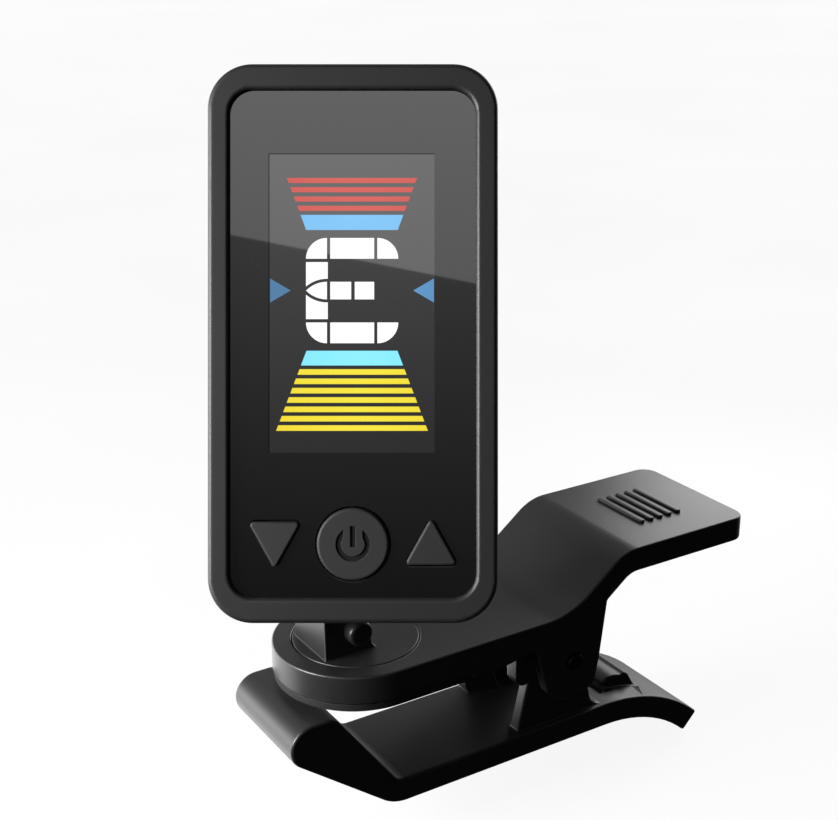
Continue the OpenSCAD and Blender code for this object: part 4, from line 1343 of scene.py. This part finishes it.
@dataclass
class Display:
    """The polished window, the panel that shows through it, and what is lit on the panel."""

    shop: Shop
    axes: Matrix
    window_skin: Material
    panel_skin: Material
    panel_shadow_skin: Material
    lights: dict[Lit, Material]
    buttons: "Buttons"
    front: float = 0.82
    back: float = 1.7
    lens: tuple[float, float, float, float] = (24.9, 50.5, 2.8, 1.85)
    panel: Triple = (16.14, 16.45, 45.64)
    panel_lift: float = 0.012
    tile_lift: float = 0.03
    # width of the painted shadow strip along the panel's top and left edges, in millimetres
    shadow_w: float = 0.11
    film_shift: float = -0.1
    upper: Triple = (43.34, 6.37, -0.37)
    upper_bars: tuple[int, float, float] = (4, 0.908, 0.50)
    upper_near: Flat = (39.72, 38.24)
    lower: Triple = (26.42, 4.45, 0.38)
    lower_bars: tuple[int, float, float] = (7, 0.915, 0.545)
    lower_first: float = 24.62
    lower_near: Flat = (26.42, 24.98)
    note_x: tuple[float, ...] = (-4.50, -2.45, -2.13, 2.17, 2.48, 4.53)
    note_z: tuple[float, ...] = (27.11, 29.14, 29.46, 35.10, 35.43, 37.46)
    note_middle: float = 32.31
    column_lap: float = 0.08
    blade: Flat = (2.85, 0.30)
    square_x: Flat = (-0.08, 0.27)
    square_half: float = 0.86
    pointer: tuple[float, float, float, float] = (8.02, 6.0, 1.18, 32.32)

    def tile(self, steps: Sequence[Step]) -> Piece:
        """One lit tile, lying just on the panel."""
        level = self.front - self.tile_lift
        return Workbench.draw("tile", Plane.UPRIGHT, level, self.front, steps, 6.0)

    def bar(self, top: float, height: float, shape: Triple) -> Piece:
        """One bar of a fan, cut from the fan's slanted outline.

        Args:
            top: the bar's upper edge.
            height: how tall it is.
            shape: the fan's own upper edge, its half width there and its growth downwards.

        Returns:
            The bar.
        """
        start, half, growth = shape
        wide = half + growth * (start - top)
        foot = wide + growth * height
        return self.tile([(-wide, top), (-foot, top - height), (foot, top - height), (wide, top)])

    def fans(self) -> None:
        """Models the two fans of bars over and under the note."""
        count, pitch, height = self.upper_bars
        high = [self.bar(self.upper[0] - step * pitch, height, self.upper) for step in range(count)]
        self.light("bars_flat", high, Lit.FLAT_SIDE)
        count, pitch, height = self.lower_bars
        low = [self.bar(self.lower_first - step * pitch, height, self.lower) for step in range(count)]
        self.light("bars_sharp", low, Lit.SHARP_SIDE)
        near = (("bar_near_flat", self.upper_near, self.upper, Lit.NEAR_FLAT),
                ("bar_near_sharp", self.lower_near, self.lower, Lit.NEAR_SHARP))
        for name, (top, foot), shape, kind in near:
            self.light(name, [self.bar(top, top - foot, shape)], kind)

    def note(self) -> None:
        """Models the note's eleven tiles."""
        x, z, middle = self.note_x, self.note_z, self.note_middle
        r = z[5] - z[4]
        corners = [[(x[0], z[4]), (x[1], z[4]), (x[1], z[5]), (x[0] + r, z[5]), (x[0] + r, z[5] - r, 90)],
                   [(x[4], z[4]), (x[5], z[4]), (x[5] - r, z[4], 90), (x[4], z[5])]]
        rows = corners + [[(x[2], z[4]), (x[3], z[4]), (x[3], z[5]), (x[2], z[5])]]
        bow, gap = self.blade
        centre = middle + self.square_half - bow
        outer = bow + gap
        lap, right = self.column_lap, x[1] + self.column_lap
        near, far = (math.degrees(math.asin(part / outer)) for part in (lap, x[1] - x[0]))
        column = [(x[0], z[3]), (right, z[3]), (right, centre + math.sqrt(outer ** 2 - lap ** 2)),
                  (x[1], centre, near + far)]
        reach = math.degrees(math.asin((x[1] - x[0]) / bow))
        tip = on_circle(x[1], centre, bow, 90 + reach)
        blade = [(x[1], middle), (x[1], centre + bow), (x[1], centre, reach), (tip[0], middle)]
        tiles = [steps for shape in (*rows, column, blade)
                 for steps in (shape, mirrored(shape, None, middle))]
        for low, high in ((x[2], self.square_x[0]), (self.square_x[1], x[3])):
            tiles.append([(low, middle - self.square_half), (high, middle - self.square_half),
                          (high, middle + self.square_half), (low, middle + self.square_half)])
        self.light("note_tiles", [self.tile(steps) for steps in tiles], Lit.NOTE)

    def pointers(self) -> None:
        """Models the two side pointers."""
        outer, tip, half, up = self.pointer
        left = [(-outer, up + half), (-outer, up - half), (-tip, up)]
        tiles = [self.tile(left), self.tile(mirrored(left, 0.0))]
        self.light("side_pointers", tiles, Lit.POINTER)

    def light(self, name: str, tiles: Sequence[Piece], kind: Lit) -> None:
        """Joins tiles of one colour and fits them."""
        piece = Workbench.place(Workbench.join(name, tiles), self.film_axes())
        self.shop.fit(piece, "head", "lcd_glass", self.lights[kind])

    def film_axes(self) -> Matrix:
        """The display's own axes, a little to the left of the head's."""
        return self.axes @ Matrix.Translation((self.film_shift * MM, 0, 0))

    def panel_shadow(self) -> Piece:
        """A painted shadow: a near-black strip along the panel's top and left edges, standing for the shade
        of the panel's recess there.
        """
        wide, low, high = self.panel
        half, line, level = wide / 2, self.shadow_w, self.front - self.panel_lift - 0.004
        steps = [(-half - line, low), (-half, low), (-half, high), (half, high), (half, high + line),
                 (-half - line, high + line)]
        return Workbench.draw("painted_panel_shadow", Plane.UPRIGHT, level, self.front + HAIR, steps)

    def build(self) -> None:
        """Models the window with its openings, the panel's outline, the painted shadow strip along the
        panel's top and left edges, and all that is lit.
        """
        wide, tall, r, base = self.lens
        lens = Workbench.draw("front_window", Plane.UPRIGHT, self.front, self.back,
                              round_rect(wide, tall, r, base))
        Workbench.cut(lens, *self.buttons.openings())
        Workbench.soften(lens, 0.05, 2)
        self.shop.fit(Workbench.place(lens, self.axes), "head", "lens", self.window_skin, "display_lens")
        wide, low, high = self.panel
        view = Workbench.draw("panel_view", Plane.UPRIGHT, self.front - self.panel_lift, self.front + HAIR,
                              [(-wide / 2, low), (wide / 2, low), (wide / 2, high), (-wide / 2, high)])
        self.shop.fit(Workbench.place(view, self.film_axes()), "head", "lcd_glass", self.panel_skin)
        # painted shadow: a near-black strip along the panel's top and left edges
        self.shop.fit(Workbench.place(self.panel_shadow(), self.film_axes()), "head", "lens", self.panel_shadow_skin)
        self.fans()
        self.note()
        self.pointers()


@dataclass
class Buttons:
    """The power button and the two arrow buttons, in one row under the display."""

    shop: Shop
    axes: Matrix
    rubber: Material
    mark_fill: Material
    face: float = 0.35
    back: float = 2.3
    collar: float = 1.8
    up: float = 7.5
    power_r: float = 3.55
    gap: float = 0.15
    arrow_x: float = 7.65
    arrow_base: float = 5.45
    arrow: Triple = (5.3, 4.75, 0.35)
    arrow_mirror: float = 7.575
    collar_grow: float = 0.55
    mark: tuple[float, float, float, float] = (1.68, 0.52, 1.9, 0.2)
    mark_fill_t: float = 0.04

    def triangle(self, grow: float, pointing_up: bool) -> list[Step]:
        """A round-cornered triangle, for the up arrow on the right or the down arrow on the left.

        Args:
            grow: how far the outline is moved outwards.
            pointing_up: which of the two it is.

        Returns:
            The outline.
        """
        wide, tall, r = (part + extra for part, extra in zip(self.arrow, (2 * grow, 2 * grow, grow)))
        slope = math.degrees(math.atan(tall / (wide / 2)))
        inset, top = r / math.tan(math.radians(slope / 2)), r / math.cos(math.radians(slope))
        x, z = self.arrow_x, self.arrow_base - grow
        low, high = z + r, z + tall - top
        outline = [(x + wide / 2 - inset, z), (x + wide / 2 - inset, low, 180 - slope),
                   on_circle(x, high, r, 90 - slope), (x, high, 2 * slope),
                   on_circle(x - wide / 2 + inset, low, r, 90 + slope),
                   (x - wide / 2 + inset, low, 180 - slope)]
        if pointing_up:
            return outline
        return mirrored(outline, 0.0, self.arrow_mirror)

    def openings(self) -> list[Piece]:
        """The tools that cut the buttons' openings in the window."""
        tools = [Workbench.rod("way", "y", (0, self.up), self.power_r + self.gap, 0, 3, 80)]
        for pointing_up in (True, False):
            tools.append(Workbench.draw("way", Plane.UPRIGHT, 0, 3, self.triangle(self.gap, pointing_up), 20))
        return tools

    def power_mark(self, low: float, high: float) -> list[Piece]:
        """The power mark as two solids: a ring with a gap at the top, and a bar in the gap.

        Args:
            low: where they start, in millimetres into the head.
            high: where they end.

        Returns:
            The ring and the bar.
        """
        r, line, gap, _ = self.mark
        ring = Workbench.rod("ring", "y", (0, self.up), r, low, high, 64)
        Workbench.cut(ring, Workbench.rod("core", "y", (0, self.up), r - line, -2, 3, 64),
                      Workbench.block("gap", (-gap / 2, -2, self.up), (gap / 2, 3, self.up + 4)))
        bar = Workbench.block("bar", (-line / 2, low, self.up - line / 2),
                              (line / 2, high, self.up + r + 0.1))
        return [ring, bar]

    def build(self) -> None:
        """Models the three buttons, each with its collar behind the window."""
        power = Workbench.rod("key_power", "y", (0, self.up), self.power_r, self.face, self.back, 80)
        Workbench.round_rim(power, 1, self.face, 0.3, 5)
        Workbench.weld(power, Workbench.rod("collar", "y", (0, self.up), self.power_r + self.collar_grow,
                                            self.collar, self.back, 80))
        bottom = self.face + self.mark[3]
        Workbench.cut(power, *self.power_mark(-PAST, bottom))
        self.finish(power, "power_button")
        # a near-black fill in the bottom of the power mark's groove, darker than the key round it
        mark_fill = Workbench.join("power_mark", self.power_mark(bottom - self.mark_fill_t, bottom + 0.1))
        Workbench.clean(mark_fill)
        self.shop.fit(Workbench.place(mark_fill, self.axes), "power_button", "button_rubber", self.mark_fill)
        for name, pointing_up in (("up", True), ("down", False)):
            key = Workbench.draw("key_" + name, Plane.UPRIGHT, self.face, self.back,
                                 self.triangle(0, pointing_up), 20)
            Workbench.round_rim(key, 1, self.face, 0.26, 4)
            Workbench.weld(key, Workbench.draw("collar", Plane.UPRIGHT, self.collar, self.back,
                                               self.triangle(self.collar_grow, pointing_up), 20))
            self.finish(key, name + "_button")

    def finish(self, key: Piece, node: str) -> None:
        """Softens, places and fits one button on its own body."""
        Workbench.soften(key, 0.05, 2, 50)
        self.shop.fit(Workbench.place(key, self.axes), node, "button_rubber", self.rubber, node)


# Room -----------------------------------------------------------------------------


@dataclass
class Room:
    """Pale floor and backdrop, soft lamps, the sky that the gloss reflects, and the camera."""

    axes: Matrix
    floor_skin: Material
    backdrop_skin: Material
    floor_half: float = 3.0
    camera_mm: Triple = (-68.37, -120.50, 80.13)
    camera_deg: Triple = (70.093, 0.0, -32.417)
    lens_mm: float = 61.8
    card_edge: tuple[Flat, Flat] = ((-11.7, 37.7), (11.7, 33.0))
    card_far: float = 0.5
    card_size: Flat = (0.16, 0.13)
    card_glow: float = 0.8
    lamps: tuple[tuple[str, Triple, Triple, Flat, float], ...] = (
        ("left", (-0.16, 0.015, 0.07), (0.0, 0.0, 0.03), (0.08, 0.10), 34.0),
        ("rear", (0.127, 0.060, 0.054), (0.046, 0.0, 0.01), (0.055, 0.06), 4.0))
    sky_floor: float = 0.012
    front_glow: float = 3.6
    back_floor: float = 0.10
    high_glow: float = 0.5
    right_glow: float = 2.4
    low_glow: float = 4.6
    under_glow: float = 2.6

    def build_floor(self) -> None:
        """Lays the floor under the object's lowest point, and puts the backdrop round it."""
        level = CAD_BOX[0][2]
        Workbench.release()
        bpy.ops.mesh.primitive_plane_add(size=2 * self.floor_half, location=(0, 0, level))
        floor = Workbench.start("floor")
        Workbench.release()
        bpy.ops.mesh.primitive_uv_sphere_add(segments=64, ring_count=32, radius=self.floor_half - 0.02,
                                             location=(0, 0, level))
        backdrop = Workbench.start("backdrop")
        for piece, skin in ((floor, self.floor_skin), (backdrop, self.backdrop_skin)):
            piece.data.materials.append(skin)
            piece.visible_glossy = piece.visible_diffuse = piece.visible_transmission = False
            piece.visible_shadow = False

    def build_sky(self) -> None:
        """Makes the soft room light: strong behind and above, low at the rear left, and faint elsewhere."""
        world = bpy.data.worlds.new("room")
        world.use_nodes = True
        bpy.context.scene.world = world
        bench = ShaderBench(world.node_tree)
        way = bench.place()
        x, y, z = (bench.axis(way, which) for which in range(3))
        inward = self.axes.to_3x3().col[1]
        facing = (x * -inward.x + y * -inward.y + z * -inward.z).smooth(0.88, 0.965)
        behind = (x * 0.35 + y * 0.94).smooth(0.1, 0.6)
        high = z.smooth(0.55, 0.75) * self.high_glow
        right = x.smooth(0.70, 0.86) * self.right_glow * z.smooth(-0.5, 0.1)
        rear_left = (x * -0.35 + y * 0.94).smooth(0.5, 0.8)
        low = z.smooth(0.33, 0.03) * z.smooth(-0.35, 0.05) * self.low_glow
        under = z.smooth(0.1, -0.3) * self.under_glow
        light = (self.sky_floor + behind * (self.back_floor + high + right) + rear_left * (low + under)
                 + facing * z ** 2.6 * self.front_glow)
        glow = bench.node("ShaderNodeBackground", {}, {"Color": (1.0, 1.0, 1.0, 1.0), "Strength": light})
        bench.node("ShaderNodeOutputWorld", {}, {"Surface": glow.outputs[0]})

    def lamp(self, name: str, spot: Vector, target: Vector, size: Flat, glow: float,
             level: Optional[Vector] = None) -> None:
        """Adds a soft rectangular lamp.

        Args:
            name: its name.
            spot: its place, in metres.
            target: what it faces.
            size: its width and height.
            glow: the radiance of its face.
            level: the direction that its width lies along, or None for level with the floor.
        """
        bpy.ops.object.light_add(type="AREA", location=spot)
        lamp = bpy.context.active_object
        lamp.name = name
        lamp.visible_camera = False
        lamp.data.shape, lamp.data.size, lamp.data.size_y = "RECTANGLE", *size
        lamp.data.energy = glow * math.pi * size[0] * size[1]
        back = (spot - target).normalized()
        across = (level or Vector((0, 0, 1)).cross(back)).normalized()
        upward = back.cross(across).normalized()
        axes = Matrix((across, upward, back)).transposed().to_4x4()
        axes.translation = spot
        lamp.matrix_world = axes

    def build_card(self) -> None:
        """Hangs the lamp whose lower edge the window mirrors as a slanting line."""
        eye = self.axes.inverted() @ (Vector(self.camera_mm) * MM)
        reach = (-eye.y + self.card_far) / -eye.y
        ends = [Vector((eye.x + (x * MM - eye.x) * reach, -self.card_far, eye.z + (z * MM - eye.z) * reach))
                for x, z in self.card_edge]
        turn = self.axes.to_3x3()
        across = (ends[1] - ends[0]).normalized()
        upward = Vector((-across.z, 0, across.x))
        middle = (ends[0] + ends[1]) / 2 + upward * self.card_size[1] / 2
        spot = self.axes @ middle
        self.lamp("card", spot, spot + turn.col[1], self.card_size, self.card_glow, turn @ across)

    def build_lamps(self) -> None:
        """Places the left lamp, a small one at the rear, and the card in front."""
        for name, spot, target, size, glow in self.lamps:
            self.lamp(name, Vector(spot), Vector(target), size, glow)
        self.build_card()

    def build_camera(self) -> None:
        """Places the camera."""
        turn = [math.radians(part) for part in self.camera_deg]
        bpy.ops.object.camera_add(location=Vector(self.camera_mm) * MM, rotation=turn)
        camera = bpy.context.active_object
        camera.data.lens, camera.data.sensor_width = self.lens_mm, 36.0
        camera.data.clip_start, camera.data.clip_end = 0.005, 20.0
        bpy.context.scene.camera = camera

    def build(self) -> None:
        """Sets the whole room up."""
        self.build_floor()
        self.build_sky()
        self.build_lamps()
        self.build_camera()
        bpy.context.scene.view_settings.view_transform = "Standard"


# Finishes of this object ------------------------------------------------------------


def grey(level: float, blue: float = 0.03) -> Colour:
    """A nearly neutral colour, a little blue."""
    return (level, level, level * (1 + blue))


def lit_finishes(axes: Matrix) -> dict[Lit, Material]:
    """The display's lit colours, each with the pale body that its film has when unlit, and a painted shade
    that darkens it towards the left, most on the pointers.
    """
    table = {Lit.FLAT_SIDE: ((0.57, 0.085, 0.07), (0.65, 0.115, 0.10)),
             Lit.NEAR_FLAT: ((0.16, 0.45, 0.80), (0.22, 0.56, 0.90)),
             Lit.NEAR_SHARP: ((0.20, 0.70, 0.92), (0.27, 0.86, 0.98)),
             Lit.SHARP_SIDE: ((0.82, 0.64, 0.035), (0.90, 0.78, 0.055)),
             Lit.NOTE: ((0.93, 0.95, 0.97), (1.0, 1.0, 1.0)),
             Lit.POINTER: ((0.08, 0.20, 0.36), (0.12, 0.33, 0.62))}
    return {kind: LitSegment("lit_" + kind.value, low, high, tuple(part * 0.05 for part in low), axes,
                             # painted shade towards the left: strongest on the pointers, slight on the rest
                             0.5 if kind is Lit.POINTER else 0.1).make()
            for kind, (low, high) in table.items()}


def dress_inside(shop: Shop, steel: Material, axes: Matrix) -> None:
    """Gives the parts that keep their CAD shape their finishes.

    Args:
        shop: dresses the nodes.
        steel: the screws' and keepers' finish.
        axes: the head's axes.
    """
    can = BrushedMetal("nickel", (0.50, 0.50, 0.49), (0.72, 0.72, 0.70), 0.2, (1.0, 1.0, 1.0), 0.3).make()
    brass = BrushedMetal("brass", (0.62, 0.42, 0.14), (0.80, 0.60, 0.26), 0.22, (8.0, 1.0, 1.0), 0.1).make()
    chip = MouldedPlastic("chip_epoxy", grey(0.012), grey(0.022), 0.55, 0.08, 0.003, 0.01).make()
    guide = MilkySheet("light_guide", (0.62, 0.66, 0.72), (0.85, 0.88, 0.92), 0.0).make()
    glass = PolishedWindow("lcd_glass", grey(0.03), grey(0.05)).make()
    strip = StripedRubber("contact_strip", grey(0.03), (0.35, 0.33, 0.30), 0.2, axes).make()
    table = {"turntable_washer": steel, "turntable_screw": steel, "swivel_keeper": steel, "lcd_panel": glass,
             "light_guide": guide, "controller_chip": chip,
             "backlight_leds": MilkySheet("led_caps", (0.80, 0.66, 0.20), (0.95, 0.84, 0.42), 0.05).make(),
             "lcd_connector": strip,
             "main_board": CircuitBoard("solder_mask").make(), "timing_crystal": can, "key_switches": can,
             "coin_cell": can, "piezo_sensor": brass, "cell_plus_clip": brass, "cell_minus_clip": brass}
    for node, finish in table.items():
        shop.dress_node(node, finish)


def main() -> None:
    """Builds the room and every sub-assembly in order."""
    logging.basicConfig(level=logging.INFO, format="%(message)s")
    shop = Shop()
    axes = head_axes(HeadCase.door_up, HeadCase.depth)
    clip = MouldedPlastic("clip_plastic", grey(0.008), grey(0.016), 0.38, 0.14, 0.004, 0.02).make()
    case = MouldedPlastic("case_plastic", grey(0.009), grey(0.015), 0.48, 0.16, 0.004, 0.008, 0.4).make()
    keys = MouldedPlastic("key_rubber", grey(0.011, 0.05), grey(0.017, 0.05), 0.60, 0.10, 0.003, 0.004,
                          0.35).make()
    # near-black finish of the fill at the bottom of the power mark's groove
    mark_fill = MouldedPlastic("dark_mark_fill", grey(0.002), grey(0.004), 0.70, 0.10, 0.001, 0.0, 0.2).make()
    pad = MouldedPlastic("pad_rubber", grey(0.006), grey(0.012), 0.70, 0.10, 0.006, 0.01, 0.3).make()
    window = PolishedWindow("tinted_window", grey(0.001), grey(0.002)).make()
    panel = PolishedWindow("panel_behind_window", grey(0.006, 0.05), grey(0.009, 0.05), 1.62).make()
    # painted shadow: the near-black finish of the strip along the panel's top and left edges
    panel_shadow = PolishedWindow("painted_panel_shadow", grey(0.0005), grey(0.001), 1.3).make()
    dark_steel = BrushedMetal("blackened_steel", (0.008, 0.008, 0.009), (0.02, 0.02, 0.021), 0.38).make()
    steel = BrushedMetal("zinc_steel", (0.34, 0.34, 0.35), (0.56, 0.56, 0.57), 0.26).make()
    wire = BrushedMetal("spring_wire", (0.25, 0.25, 0.26), (0.45, 0.45, 0.46), 0.22, (1.0, 1.0, 1.0),
                        0.1).make()
    floor, backdrop = (PaleFloor(name, grey(0.050, 0.0), grey(0.053, 0.0), glow).make()
                       for name, glow in (("pale_floor", 17.5), ("pale_backdrop", 18.5)))

    Room(axes, floor, backdrop).build()
    UpperJaw(shop, clip, pad, dark_steel).build()
    LowerJaw(shop, clip).build()
    HingeSpring(shop, wire).build()
    Turntable(shop, clip).build()
    HeadCase(shop, axes, case, steel).build()
    buttons = Buttons(shop, axes, keys, mark_fill)
    buttons.build()
    Display(shop, axes, window, panel, panel_shadow, lit_finishes(axes), buttons).build()
    dress_inside(shop, steel, axes)
    LOG.info("%d pieces modelled", shop.count)


if __name__ == "__main__":
    main()
